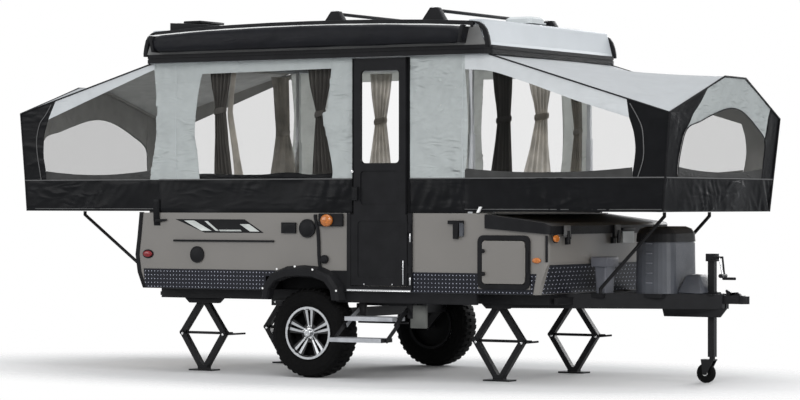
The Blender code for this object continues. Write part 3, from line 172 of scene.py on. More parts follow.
def tread_plate(name, across, spread=1.0):
    """Dark plate with raised dashes that lean to either side by turns. The dashes are painted a bright bluish
    grey in patches, as painted highlights for their glints.
    """
    made, shader, tree = graph(name)
    place = add(tree, "ShaderNodeTexCoord")
    split = add(tree, "ShaderNodeSeparateXYZ")
    tree.links.new(place.outputs["Object"], split.inputs["Vector"])
    u = math_node(tree, "DIVIDE", split.outputs[across], PLATE_PITCH * spread)
    v = math_node(tree, "DIVIDE", split.outputs["Z"], PLATE_PITCH)
    cells = math_node(tree, "ADD", math_node(tree, "FLOOR", u), math_node(tree, "FLOOR", v))
    odd = math_node(tree, "MODULO", math_node(tree, "ABSOLUTE", cells), 2.0)
    turn = math_node(tree, "SUBTRACT", 1.0, math_node(tree, "MULTIPLY", odd, 2.0))
    du = math_node(tree, "SUBTRACT", math_node(tree, "FRACT", u), 0.5)
    dv = math_node(tree, "SUBTRACT", math_node(tree, "FRACT", v), 0.5)
    along = math_node(tree, "ADD", du, math_node(tree, "MULTIPLY", dv, turn))
    side = math_node(tree, "SUBTRACT", dv, math_node(tree, "MULTIPLY", du, turn))
    far = math_node(tree, "ADD", math_node(tree, "POWER", math_node(tree, "DIVIDE", along, 0.27), 2.0),
                    math_node(tree, "POWER", math_node(tree, "DIVIDE", side, 0.12), 2.0))
    raised = add(tree, "ShaderNodeMapRange", interpolation_type="SMOOTHSTEP")
    raised.inputs["From Min"].default_value = 1.3
    raised.inputs["From Max"].default_value = 0.6
    tree.links.new(far, raised.inputs["Value"])
    # patchy noise that sets how bright the painted highlight on each raised dash is
    glint_patches = add(tree, "ShaderNodeTexNoise", Scale=7.0, Detail=3.0)
    tree.links.new(place.outputs["Object"], glint_patches.inputs["Vector"])
    painted_glint = math_node(tree, "MULTIPLY", raised.outputs["Result"],
                     math_node(tree, "MULTIPLY", glint_patches.outputs["Fac"], 1.7))
    # painted highlight: colour B, a bright bluish grey on the raised dashes, stands in for their glints; A is
    # the dark plate
    mix = add(tree, "ShaderNodeMix", data_type="RGBA")
    mix.inputs["A"].default_value = (0.010, 0.011, 0.016, 1)
    mix.inputs["B"].default_value = (0.55, 0.57, 0.66, 1)
    tree.links.new(painted_glint, mix.inputs["Factor"])
    tree.links.new(mix.outputs["Result"], shader.inputs["Base Color"])
    shader.inputs["Metallic"].default_value = 0.35
    shader.inputs["Roughness"].default_value = 0.42
    shader.inputs["Specular IOR Level"].default_value = 0.3
    bump = add(tree, "ShaderNodeBump", Distance=0.0012)
    tree.links.new(raised.outputs["Result"], bump.inputs["Height"])
    tree.links.new(bump.outputs["Normal"], shader.inputs["Normal"])
    made.diffuse_color = (0.03, 0.03, 0.04, 1)
    return made


def about_axle(tree, place, centre):
    """X and Z measured from a wheel's centre, and the distance from it."""
    split = add(tree, "ShaderNodeSeparateXYZ")
    tree.links.new(place.outputs["Object"], split.inputs["Vector"])
    x = math_node(tree, "SUBTRACT", split.outputs["X"], centre[0])
    z = math_node(tree, "SUBTRACT", split.outputs["Z"], centre[1])
    radius = math_node(tree, "SQRT", math_node(tree, "ADD", math_node(tree, "POWER", x, 2.0),
                                               math_node(tree, "POWER", z, 2.0)))
    return x, z, radius


def sidewall_rubber(name, centre):
    """Tyre rubber with fine rings on its sidewall and dust in its grain."""
    made, shader, tree = graph(name)
    place = add(tree, "ShaderNodeTexCoord")
    _, _, radius = about_axle(tree, place, centre)
    rings = math_node(tree, "SINE", math_node(tree, "MULTIPLY", radius, RING_WAVES))
    dust = add(tree, "ShaderNodeTexNoise", Scale=38.0, Detail=5.0)
    tree.links.new(place.outputs["Object"], dust.inputs["Vector"])
    mix = add(tree, "ShaderNodeMix", data_type="RGBA")
    mix.inputs["A"].default_value = (0.0016, 0.0016, 0.0018, 1)
    mix.inputs["B"].default_value = (0.0068, 0.0066, 0.0066, 1)
    tree.links.new(dust.outputs["Fac"], mix.inputs["Factor"])
    tree.links.new(mix.outputs["Result"], shader.inputs["Base Color"])
    shader.inputs["Roughness"].default_value = 0.72
    shader.inputs["Specular IOR Level"].default_value = 0.08
    bump = add(tree, "ShaderNodeBump", Distance=0.0009)
    tree.links.new(math_node(tree, "ADD", rings, dust.outputs["Fac"]), bump.inputs["Height"])
    tree.links.new(bump.outputs["Normal"], shader.inputs["Normal"])
    made.diffuse_color = (0.02, 0.02, 0.02, 1)
    return made


def machined_rim(name, centre):
    """Bright metal on the twin spokes, the hub and the lip, black paint elsewhere on the face."""
    made, shader, tree = graph(name)
    place = add(tree, "ShaderNodeTexCoord")
    x, z, radius = about_axle(tree, place, centre)
    turn = math_node(tree, "DIVIDE", math_node(tree, "ARCTAN2", x, z), math.tau / SPOKES)
    off = math_node(tree, "SUBTRACT", turn, math_node(tree, "ROUND", turn))
    across = math_node(tree, "ABSOLUTE", math_node(tree, "MULTIPLY", radius, math_node(
        tree, "SINE", math_node(tree, "MULTIPLY", off, math.tau / SPOKES))))
    limit = math_node(tree, "ADD", 0.009, math_node(tree, "MULTIPLY", radius, 0.150))
    gap = math_node(tree, "ADD", 0.003, math_node(tree, "MULTIPLY", radius, 0.055))
    spoke = math_node(tree, "MULTIPLY", math_node(tree, "LESS_THAN", across, limit),
                      math_node(tree, "GREATER_THAN", across, gap))
    hub = math_node(tree, "LESS_THAN", radius, 0.040)
    lip = math_node(tree, "GREATER_THAN", radius, 0.190)
    bright = math_node(tree, "MAXIMUM", spoke, math_node(tree, "MAXIMUM", hub, lip))
    brushed = add(tree, "ShaderNodeTexNoise", Scale=60.0, Detail=3.0)
    tree.links.new(place.outputs["Object"], brushed.inputs["Vector"])
    mix = add(tree, "ShaderNodeMix", data_type="RGBA")
    mix.inputs["A"].default_value = (0.006, 0.006, 0.0065, 1)
    mix.inputs["B"].default_value = (0.62, 0.63, 0.64, 1)
    tree.links.new(bright, mix.inputs["Factor"])
    tree.links.new(mix.outputs["Result"], shader.inputs["Base Color"])
    tree.links.new(bright, shader.inputs["Metallic"])
    tree.links.new(math_node(tree, "ADD", 0.20, math_node(tree, "MULTIPLY", brushed.outputs["Fac"], 0.2)),
                   shader.inputs["Roughness"])
    made.diffuse_color = (0.4, 0.4, 0.4, 1)
    return made


MATERIALS = {
    "rim": machined_rim("machined rim", RIM_CENTRE),
    "taupe": surface("taupe paint", TAUPE, 0.34, mottle=0.04, spots=2.0, coat=0.2, grain=0.00008),
    "pale": surface("pale panel", PALE, 0.55, mottle=0.05, spots=3.0),
    "roof": surface("roof panel", ROOF_GREY, 0.42, mottle=0.04, spots=3.0, grain=0.0001, shine=0.35),
    "black": surface("black plastic", BLACK, 0.5, mottle=0.2, grain=0.0004, grain_size=700, shine=0.12),
    "steel": surface("black enamel", (0.010, 0.010, 0.011), 0.4, mottle=0.2, shine=0.18, grain=0.0002),
    "plate": tread_plate("tread plate", "X"),
    "front plate": tread_plate("front tread plate", "Y", 1.9),
    "rubber": sidewall_rubber("tyre rubber", RIM_CENTRE),
    "caster rubber": sidewall_rubber("caster rubber", CASTER_CENTRE),
    "alloy": surface("machined alloy", (0.60, 0.61, 0.62), 0.28, metal=1.0, mottle=0.06, grain=0.00006,
                     stretch=(1, 9, 1)),
    "canvas": surface("tent cloth", CLOTH, 0.9, mottle=0.05, grain=0.0004, shine=0.2, through=0.22,
                      wrinkle=(0.036, 7.0, 3.2)),
    "awning": surface("awning bag vinyl", (0.0065, 0.0068, 0.0088), 0.42, mottle=0.2, grain=0.0005,
                      shine=0.14, wrinkle=(0.006, 9.0, 3.0)),
    "charcoal": surface("grained cover", (0.050, 0.054, 0.064), 0.38, mottle=0.12, grain=0.0005, shine=0.5),
    "ply": surface("sealed board", (0.42, 0.31, 0.19), 0.6, mottle=0.2, stretch=(1, 9, 9)),
    "foam": surface("mattress ticking", (0.55, 0.55, 0.53), 0.95, mottle=0.06, grain=0.0008),
    "red": surface("red lens", (0.20, 0.008, 0.012), 0.2, mottle=0.25, spots=120.0),
    "amber": surface("amber lens", (0.42, 0.125, 0.016), 0.15, mottle=0.3, spots=90.0, coat=0.5),
    "vinyl": surface("skirt vinyl", VINYL, 0.33, mottle=0.2, grain=0.0002, grain_size=1200, shine=0.11,
                     wrinkle=(0.016, 4.5, 1.6)),
    "lining": surface("dark lining", (0.440, 0.433, 0.415), 0.9, mottle=0.1, shine=0.15, grain=0.0003),
    "inner cloth": surface("inner cloth", (0.74, 0.74, 0.71), 0.9, mottle=0.06, shine=0.2, through=0.7),
    "far canvas": surface("backlit tent cloth", (0.62, 0.64, 0.63), 0.9, mottle=0.05, grain=0.0004,
                          shine=0.2, through=0.6, wrinkle=(0.012, 9.0, 3.0)),
    # painted light: the eave band is the tent canvas in a lighter copy, standing in for the sky light that
    # its outward slope catches
    "band painted light": surface("eave band painted light", (0.57, 0.59, 0.598), 0.7, mottle=0.04, grain=0.0003, shine=0.2,
                          through=0.08, wrinkle=(0.008, 7.0, 2.0)),
    # painted light for the trunk lid's top, which lies in shade under the bed deck
    "lid top painted light": surface("lid sheet painted light", (0.050, 0.050, 0.052), 0.45, mottle=0.15, shine=0.3, grain=0.0003),
    "roof lining": surface("roof lining", (0.66, 0.65, 0.62), 0.9, mottle=0.1, shine=0.15, grain=0.0003,
                           through=0.6),
    "foot band": surface("window foot band", (0.040, 0.040, 0.039), 0.6, mottle=0.2, shine=0.2,
                         grain=0.0003, wrinkle=(0.006, 14.0, 3.0)),
    "end vinyl": surface("end skirt vinyl", VINYL, 0.30, mottle=0.2, grain=0.0002, grain_size=1200,
                         shine=0.05, wrinkle=(0.014, 4.5, 1.6)),
    "tent roof": surface("tent roof vinyl", (0.51, 0.53, 0.545), 0.5, mottle=0.03, grain=0.0002, shine=0.3,
                         through=0.3, wrinkle=(0.006, 6.0, 1.4)),
    "seam": surface("seam piping", (0.10, 0.10, 0.10), 0.6, mottle=0.15, shine=0.3),
    "drape": surface("curtain", (0.072, 0.067, 0.061), 0.95, mottle=0.15, grain=0.0005, shine=0.15,
                     through=0.15),
    "bench cloth": surface("bench cloth", (0.075, 0.072, 0.070), 0.9, mottle=0.2, grain=0.0006, shine=0.2),
    # painted light: the curtain cloth made lighter to make up for the shade inside the cabin; its
    # translucency is real
    "drape painted bright": surface("curtain painted bright", DRAPE_PAINTED_BRIGHT, 0.85, mottle=0.2, grain=0.0005, shine=0.3, through=0.6),
    "cabinet": surface("cabinet board", (0.36, 0.31, 0.26), 0.5, mottle=0.08, stretch=(1, 1, 6)),
    "pocket": surface("painted pocket", (0.006, 0.006, 0.0065), 0.5, mottle=0.2, shine=0.1, grain=0.0003),
    "side grey": surface("roof side", (0.135, 0.135, 0.132), 0.6, mottle=0.12, spots=5.0, grain=0.0003),
    "bright": surface("bright metal", (0.72, 0.72, 0.72), 0.22, metal=1.0, mottle=0.08, grain=0.0001),
    "white": surface("white plastic", (0.80, 0.80, 0.79), 0.4, mottle=0.04),
    "box grey": surface("box plastic", (0.125, 0.130, 0.150), 0.45, mottle=0.1, grain=0.0004, shine=0.4),
    "dull plate": surface("dull plate", (0.105, 0.108, 0.100), 0.55, mottle=0.2, grain=0.0003, shine=0.3),
    "silver": surface("silver film", (0.50, 0.52, 0.50), 0.35, metal=0.4, mottle=0.25, spots=4.0),
    "tread": surface("grip tread", (0.42, 0.43, 0.45), 0.45, metal=0.7, mottle=0.2, grain=0.0012,
                     grain_size=260.0),
}


def screen(name, clear):
    """Window mesh: how much of the light each of its two faces lets through."""
    made, shader, tree = graph(name)
    shader.inputs["Base Color"].default_value = (*MESH_GREY, 1)
    shader.inputs["Roughness"].default_value = 0.9
    shader.inputs["Specular IOR Level"].default_value = 0.1
    mix = add(tree, "ShaderNodeMixShader", Fac=clear)
    tree.links.new(shader.outputs["BSDF"], mix.inputs[1])
    tree.links.new(add(tree, "ShaderNodeBsdfTransparent").outputs["BSDF"], mix.inputs[2])
    tree.links.new(mix.outputs["Shader"], tree.nodes["Material Output"].inputs["Surface"])
    return made


for word, clear in (("cabin", 0.960), ("front", 0.935), ("rear", 0.880), ("end", 0.820)):
    MATERIALS[f"{word} mesh"] = screen(f"{word} window mesh", clear)

NODES_IN = {
    "taupe": "tub hatch_door",
    "pale": "roof_vent",
    "roof": "roof_shell",
    "black": ("fender_left fender_right door_frame door hatch_frame trunk_lid roof_trim roof_bar_front "
              "roof_bar_rear"),
    "steel": ("frame axle jack_front_left jack_front_right jack_rear_left jack_rear_right caster_fork "
              "coupler step_hanger tongue_jack bed_strut_front_left bed_strut_front_right "
              "bed_strut_rear_left bed_strut_rear_right"),
    "lining": "bow_front bow_rear",
    "plate": "tread_plate_left tread_plate_right",
    "front plate": "tread_plate_front",
    "rubber": "tyre_left tyre_right",
    "caster rubber": "caster_wheel",
    "rim": "rim_left rim_right",
    "alloy": "post_front_left post_front_right post_rear_left post_rear_right",
    "tread": "step_lower step_upper",
    "awning": "awning_bag",
    "charcoal": "gas_cover tongue_cover",
    "box grey": "battery_box",
    "ply": "bed_deck_front bed_deck_rear",
    "foam": "mattress_front mattress_rear",
    "red": "tail_lamp_left tail_lamp_right",
    "cabinet": "galley dinette",
}
FINISH_OF = {node: finish for finish, nodes in NODES_IN.items() for node in nodes.split()}


def set_stage():
    """Camera, floor, soft lights and a white backdrop that only the camera sees as white."""
    scene = bpy.context.scene
    data = bpy.data.cameras.new("camera")
    data.lens = CAMERA_LENS
    data.sensor_width = 36
    data.clip_end = 200
    camera = bpy.data.objects.new("camera", data)
    camera.location = ROW @ Vector(CAMERA_PLACE)
    camera.rotation_euler = [math.radians(a) for a in CAMERA_TURN]
    scene.collection.objects.link(camera)
    scene.camera = camera

    bpy.ops.mesh.primitive_plane_add(size=60, location=(0, 0, 0))
    floor = bpy.context.object
    floor.name = "floor"
    made, shader, tree = graph("floor paint")
    shader.inputs["Base Color"].default_value = (*FLOOR_GREY, 1)
    shader.inputs["Roughness"].default_value = 0.9
    place = add(tree, "ShaderNodeTexCoord")
    flat = add(tree, "ShaderNodeMapping")
    flat.inputs["Scale"].default_value = (0.19, 0.36, 1)
    tree.links.new(place.outputs["Object"], flat.inputs["Vector"])
    far = add(tree, "ShaderNodeVectorMath", operation="LENGTH")
    tree.links.new(flat.outputs["Vector"], far.inputs[0])
    fade = add(tree, "ShaderNodeMapRange", interpolation_type="SMOOTHSTEP")
    fade.inputs["From Min"].default_value = 0.55
    fade.inputs["From Max"].default_value = 1.0
    tree.links.new(far.outputs["Value"], fade.inputs["Value"])
    clear = add(tree, "ShaderNodeBsdfTransparent")
    mix = add(tree, "ShaderNodeMixShader")
    out = tree.nodes["Material Output"]
    tree.links.new(fade.outputs["Result"], mix.inputs["Fac"])
    tree.links.new(shader.outputs["BSDF"], mix.inputs[1])
    tree.links.new(clear.outputs["BSDF"], mix.inputs[2])
    tree.links.new(mix.outputs["Shader"], out.inputs["Surface"])
    floor.data.materials.append(made)

    world = bpy.data.worlds.new("studio")
    scene.world = world
    world.use_nodes = True
    sky = world.node_tree
    back = sky.nodes["Background"]
    back.inputs["Color"].default_value = (0.80, 0.82, 0.85, 1)
    back.inputs["Strength"].default_value = 0.75
    white = add(sky, "ShaderNodeBackground")
    white.inputs["Color"].default_value = (1, 1, 1, 1)
    seen = add(sky, "ShaderNodeLightPath")
    mix = add(sky, "ShaderNodeMixShader")
    sky.links.new(seen.outputs["Is Camera Ray"], mix.inputs["Fac"])
    sky.links.new(back.outputs["Background"], mix.inputs[1])
    sky.links.new(white.outputs["Background"], mix.inputs[2])
    sky.links.new(mix.outputs["Shader"], sky.nodes["World Output"].inputs["Surface"])

    # each lamp's name, its place, what it points at, its width and its watts
    for name, spot, aim, size, power in (
        ("key softbox", (7, -13, 8), (0, 0, 1), 7.0, 900),
        ("side softbox", (-9, -10, 5), (-1, 0, 1.4), 6.0, 330),
        ("front softbox", (14, -3, 4), (2, 0, 1.5), 5.0, 560),
        ("far softbox", (1, 13, 5), (0, 0, 1.6), 7.0, 1000),
        ("top softbox", (0, 0, 10), (0, 0, 0), 8.0, 420),
    ):
        light = bpy.data.lights.new(name, "AREA")
        light.size = size
        light.energy = power
        lamp = bpy.data.objects.new(name, light)
        lamp.location = spot
        lamp.rotation_euler = (Vector(spot) - Vector(aim)).to_track_quat("Z", "Y").to_euler()
        scene.collection.objects.link(lamp)
    scene.view_settings.view_transform = "Standard"


set_stage()


# Each CAD node takes the finish whose row names it, and black plastic where no row does
for node in NODES.values():
    finish = FINISH_OF.get(node.name, "black")
    node.data.materials.clear()
    node.data.materials.append(MATERIALS[finish])


# Cloth pieces
def curve(points, steps=6):
    """Smooth line through points, as many steps between two of them."""
    points = [Vector(p) for p in points]
    ends = [points[0] * 2 - points[1], *points, points[-1] * 2 - points[-2]]
    line = []
    for a, b, c, d in zip(ends, ends[1:], ends[2:], ends[3:]):
        for i in range(steps):
            t = i / steps
            line.append(0.5 * (2 * b + (c - a) * t + (2 * a - 5 * b + 4 * c - d) * t * t
                               + (3 * b - 3 * c + d - a) * t * t * t))
    return line + [points[-1]]


def keep_mesh(name, mesh, finishes, body, smooth=40):
    """Object at the origin with its place in the mesh, riding on a body."""
    made = bpy.data.objects.new(name, mesh)
    bpy.context.scene.collection.objects.link(made)
    mesh.transform(ROW)
    for finish in finishes:
        mesh.materials.append(MATERIALS[finish])
    mesh.polygons.foreach_set("use_smooth", [True] * len(mesh.polygons))
    mesh.set_sharp_from_angle(angle=math.radians(smooth))
    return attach(made, body)


def ridges(s, t, seed, lean, length, width):
    """Height from 0 to 1 of long creases that lean over by an angle."""
    c, d = math.cos(lean), math.sin(lean)
    along, across = s * c + t * d, t * c - s * d
    h = noise.noise(Vector((along / length, across / width, seed)))
    return max(0.0, 1 - 3.2 * abs(h)) ** 2


def loose(s, t, seed, depth, lean=0.9, length=0.30, width=0.075):
    """Height of a panel's loose cloth: slow waves, and creases over them."""
    slow = noise.noise(Vector((s * 2.1, t * 2.6, seed))) * 1.6
    patch = max(0.0, noise.noise(Vector((s * 1.3, t * 1.9, seed + 7))) + 0.25)
    return depth * (slow + 1.4 * patch * ridges(s, t, seed, lean, length, width))


def cut_cloth(name, outline, place, finish, lining, body, holes=(), cell=0.035, thick=0.002,
              depth=0.004, seed=1.0, lean=0.9, crease=(0.30, 0.075)):
    """Panel of cloth cut to an outline, with windows, laid on a surface and slightly loose."""
    bm = bmesh.new()
    for line in (outline, *holes):
        ring = [bm.verts.new((p[0], p[1], 0)) for p in line]
        for a, b in zip(ring, ring[1:] + ring[:1]):
            bm.edges.new((a, b))
    bmesh.ops.triangle_fill(bm, use_beauty=True, edges=bm.edges[:], normal=(0, 0, 1))
    low = [min(p[i] for p in outline) for i in (0, 1)]
    high = [max(p[i] for p in outline) for i in (0, 1)]
    for axis in (0, 1):
        count = max(1, round((high[axis] - low[axis]) / cell))
        for i in range(1, count):
            at = [0, 0, 0]
            way = [0, 0, 0]
            at[axis] = low[axis] + (high[axis] - low[axis]) * i / count
            way[axis] = 1
            bmesh.ops.bisect_plane(bm, geom=bm.verts[:] + bm.edges[:] + bm.faces[:], plane_co=at,
                                   plane_no=way, dist=0.0005)
    bmesh.ops.remove_doubles(bm, verts=bm.verts[:], dist=0.0004)
    for v in bm.verts:
        s, t = v.co.x, v.co.y
        spot, out = place(s, t)
        free = 0.0 if v.is_boundary else 1.0
        v.co = Vector(spot) + Vector(out) * loose(s, t, seed, depth, lean, *crease) * free
    bm.normal_update()
    facing = Vector(place(sum(p[0] for p in outline) / len(outline),
                          sum(p[1] for p in outline) / len(outline))[1])
    if sum((f.normal.dot(facing) for f in bm.faces), 0.0) < 0:
        bmesh.ops.reverse_faces(bm, faces=bm.faces[:])
    area = sum(f.calc_area() for f in bm.faces)
    mesh = bpy.data.meshes.new(name)
    bm.to_mesh(mesh)
    bm.free()
    raw = bpy.data.objects.new(name, mesh)
    bpy.context.scene.collection.objects.link(raw)
    shell = raw.modifiers.new("shell", "SOLIDIFY")
    shell.thickness = thick
    shell.offset = -1
    faces = len(mesh.polygons)
    graph_now = bpy.context.evaluated_depsgraph_get()
    solid = bpy.data.meshes.new_from_object(raw.evaluated_get(graph_now))
    bpy.data.objects.remove(raw)
    made = keep_mesh(name, solid, (finish, lining), body)
    for i in range(faces, 2 * faces):
        solid.polygons[i].material_index = 1
    sides = [high[i] - low[i] for i in (0, 1)]
    part = max(0.31, min(1.0, area / (sides[0] * sides[1])))
    grow = math.sqrt(area / (part * sides[0] * sides[1]))
    sides = [side * grow for side in sides]
    return made


def pipe(name, line, radius, finish, body, sides=6):
    """Thin round trim along a line."""
    line = [Vector(p) for p in line]
    bm = bmesh.new()
    rings = []
    for i, spot in enumerate(line):
        way = (line[min(i + 1, len(line) - 1)] - line[max(i - 1, 0)]).normalized()
        side = way.cross(Vector((0.3, 0.5, 0.81))).normalized()
        up = side.cross(way)
        rings.append([bm.verts.new(spot + radius * (side * math.cos(a) + up * math.sin(a)))
                      for a in (i2 * math.tau / sides for i2 in range(sides))])
    for a, b in zip(rings, rings[1:]):
        for i in range(sides):
            bm.faces.new((a[i], a[(i + 1) % sides], b[(i + 1) % sides], b[i]))
    bm.faces.new(rings[0])
    bm.faces.new(rings[-1])
    bmesh.ops.recalc_face_normals(bm, faces=bm.faces[:])
    mesh = bpy.data.meshes.new(name)
    bm.to_mesh(mesh)
    bm.free()
    return keep_mesh(name, mesh, (finish,), body)


def fold_depth(span, width, pleats):
    """How deep the pleats are when a cloth of this width is gathered into a span."""
    low, high = 0.0, width
    steps = 16 * pleats
    for _ in range(24):
        depth = (low + high) / 2
        ys = [depth * math.sin(math.tau * pleats * i / steps) for i in range(steps + 1)]
        length = sum(math.hypot(span / steps, b - a) for a, b in zip(ys, ys[1:]))
        if length < width:
            low = depth
        else:
            high = depth
    return depth


def drape(name, rows, plane, width, finish, body, pleats=5, seed=1.0):
    """Curtain tied at its waist, gathered from one width.

    Rows are a height and the two edges' places, along X in a plane of Y, or along Y in one of X.
    """
    axis, depth_at = plane
    heights = [r[0] for r in rows]
    lefts = [r[1] for r in rows]
    rights = [r[2] for r in rows]
    levels = np.linspace(heights[0], heights[-1], 34)
    steps = 12 * pleats
    bm = bmesh.new()
    grid = []
    for z in levels:
        left = float(np.interp(-z, [-h for h in heights], lefts))
        right = float(np.interp(-z, [-h for h in heights], rights))
        depth = fold_depth(right - left, width, pleats)
        row = []
        for i in range(steps + 1):
            t = i / steps
            shift = 0.35 * noise.noise(Vector((t * 3, z * 1.3, seed)))
            fold = depth_at + depth * math.sin(math.tau * (pleats * t + shift))
            along = left + (right - left) * t
            row.append(bm.verts.new((along, fold, z) if axis == "y" else (fold, along, z)))
        grid.append(row)
    for a, b in zip(grid, grid[1:]):
        for i in range(steps):
            bm.faces.new((a[i], b[i], b[i + 1], a[i + 1]))
    area = sum(f.calc_area() for f in bm.faces)
    mesh = bpy.data.meshes.new(name)
    bm.to_mesh(mesh)
    bm.free()
    made = keep_mesh(name, mesh, (finish,), body, smooth=180)
    return made


def tie_band(name, height, ends, plane, depth, finish, body):
    """Band of cloth tied round a curtain's waist."""
    axis, depth_at = plane
    middle = (ends[0] + ends[1]) / 2
    half = (ends[1] - ends[0]) / 2 + 0.004
    steps = 40
    bm = bmesh.new()
    rows = []
    for z, swell in ((-0.024, 0.0), (-0.012, 0.004), (0.0, 0.005), (0.012, 0.004), (0.024, 0.0)):
        row = []
        for i in range(steps):
            turn = math.tau * i / steps
            along = middle + (half + swell) * math.cos(turn)
            out = depth_at + (depth + 0.004 + swell) * math.sin(turn)
            tilt = 0.010 * math.cos(turn)
            row.append(bm.verts.new((along, out, height + z + tilt) if axis == "y"
                                    else (out, along, height + z + tilt)))
        rows.append(row)
    for a, b in zip(rows, rows[1:]):
        for i in range(steps):
            bm.faces.new((a[i], a[(i + 1) % steps], b[(i + 1) % steps], b[i]))
    area = sum(f.calc_area() for f in bm.faces)
    mesh = bpy.data.meshes.new(name)
    bm.to_mesh(mesh)
    bm.free()
    made = keep_mesh(name, mesh, (finish,), body, smooth=180)
    return made


# The two bed ends' canvas. way is 1 at the front and -1 at the rear; hand is -1 at the door side.
ENDS = {
    # corner x, corner half width, corner z, ridge x, ridge half, ridge z, foot x, root x, roof end x
    "front": (3.106, 1.009, 2.040, 3.175, 0.190, 2.330, 3.032, 1.400, 1.612),
    "rear": (-2.880, 1.009, 2.120, -2.895, 0.190, 2.362, -2.838, -1.450, -1.535),
}
WALL_Y = 1.024
FOOT_HALF = 0.972
FOOT_Z = 1.308
ROOF_Z = 2.503
SKIRT_TOP = 1.562


def side_place(label, hand):
    """Where a point of a bed end's side canvas lies, from its x and z, and which way is out."""
    corner_x, corner_y, corner_z, *_, foot_x, root_x, roof_x = ENDS[label]

    def place(x, z):
        along = min(1.0, max(0.0, (x - roof_x) / (corner_x - roof_x)))
        up = min(1.0, max(0.0, (z - FOOT_Z) / (corner_z - FOOT_Z)))
        end_y = FOOT_HALF + (corner_y - FOOT_HALF) * up
        return (x, hand * (WALL_Y + (end_y - WALL_Y) * along), z), (0, hand, 0)
    return place


def wall_place(hand):
    """Where a point of the cabin's side canvas lies, from its x and z, and which way is out."""
    def place(x, z):
        return (x, hand * WALL_Y, z), (0, hand, 0)
    return place


def end_place(label, way):
    """Where a point of a bed end's end canvas lies, from its y and z."""
    corner_x, corner_y, corner_z, ridge_x, ridge_y, ridge_z, foot_x, *_ = ENDS[label]

    def place(y, z):
        if z < corner_z:
            x = foot_x + (corner_x - foot_x) * (z - FOOT_Z) / (corner_z - FOOT_Z)
        else:
            x = corner_x + (ridge_x - corner_x) * (z - corner_z) / (ridge_z - corner_z)
        return (x + way * 0.002, y, z), (way, 0, 0)
    return place


def lifted(place, by):
    """The same surface, moved out by a distance."""
    def moved(s, t):
        spot, out = place(s, t)
        return Vector(spot) + Vector(out) * by, out
    return moved


def eave(label):
    """Height of a bed end's eave at this x."""
    corner_x, _, corner_z, *_, roof_x = ENDS[label]

    def height(x):
        part = (x - roof_x) / (corner_x - roof_x)
        return ROOF_Z + min(1.0, max(0.0, part)) * (corner_z - ROOF_Z)
    return height


# Seams of a bed end's side, as x and z on the door side of the picture
SIDE_SEAMS = {
    "front": {
        "band": ((1.400, 2.392), (1.627, 2.372), (1.923, 2.283), (2.134, 2.211), (2.306, 2.151),
                 (2.466, 2.100), (2.782, 2.005)),
        "window end": ((2.782, 2.005), (2.815, 1.900), (2.828, 1.788), (2.820, 1.700), (2.802, 1.600)),
        "band top": (2.761, 2.128),
        "piping": ((2.790, 2.110), (2.850, 2.010), (2.886, 1.928), (2.896, 1.820), (2.891, 1.700),
                   (2.844, 1.562)),
        "root": (1.400, 1.400, 1.400, 1.400),
    },
    "rear": {
        "band": ((-1.500, 2.447), (-1.543, 2.443), (-2.068, 2.257), (-2.594, 2.068)),
        "window end": ((-2.594, 2.068), (-2.641, 1.930), (-2.654, 1.771), (-2.640, 1.680),
                       (-2.627, 1.595)),
        "band top": (-2.515, 2.222),
        "piping": ((-2.560, 2.190), (-2.620, 2.105), (-2.681, 2.037), (-2.716, 1.930), (-2.721, 1.830),
                   (-2.708, 1.718), (-2.681, 1.562)),
    },
}
# The cabin corner's pillar, whose edge waves beside the bed end's window
PILLAR_EDGE = {
    "front": ((1.400, 2.392), (1.418, 2.150), (1.425, 1.950), (1.418, 1.750), (1.400, 1.562)),
    "rear": ((-1.500, 2.447), (-1.480, 2.227), (-1.473, 2.103), (-1.486, 1.895), (-1.531, 1.636),
             (-1.544, 1.562)),
}


def flatten(piece):
    """Give the piece a mesh of its own."""
    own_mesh(piece)


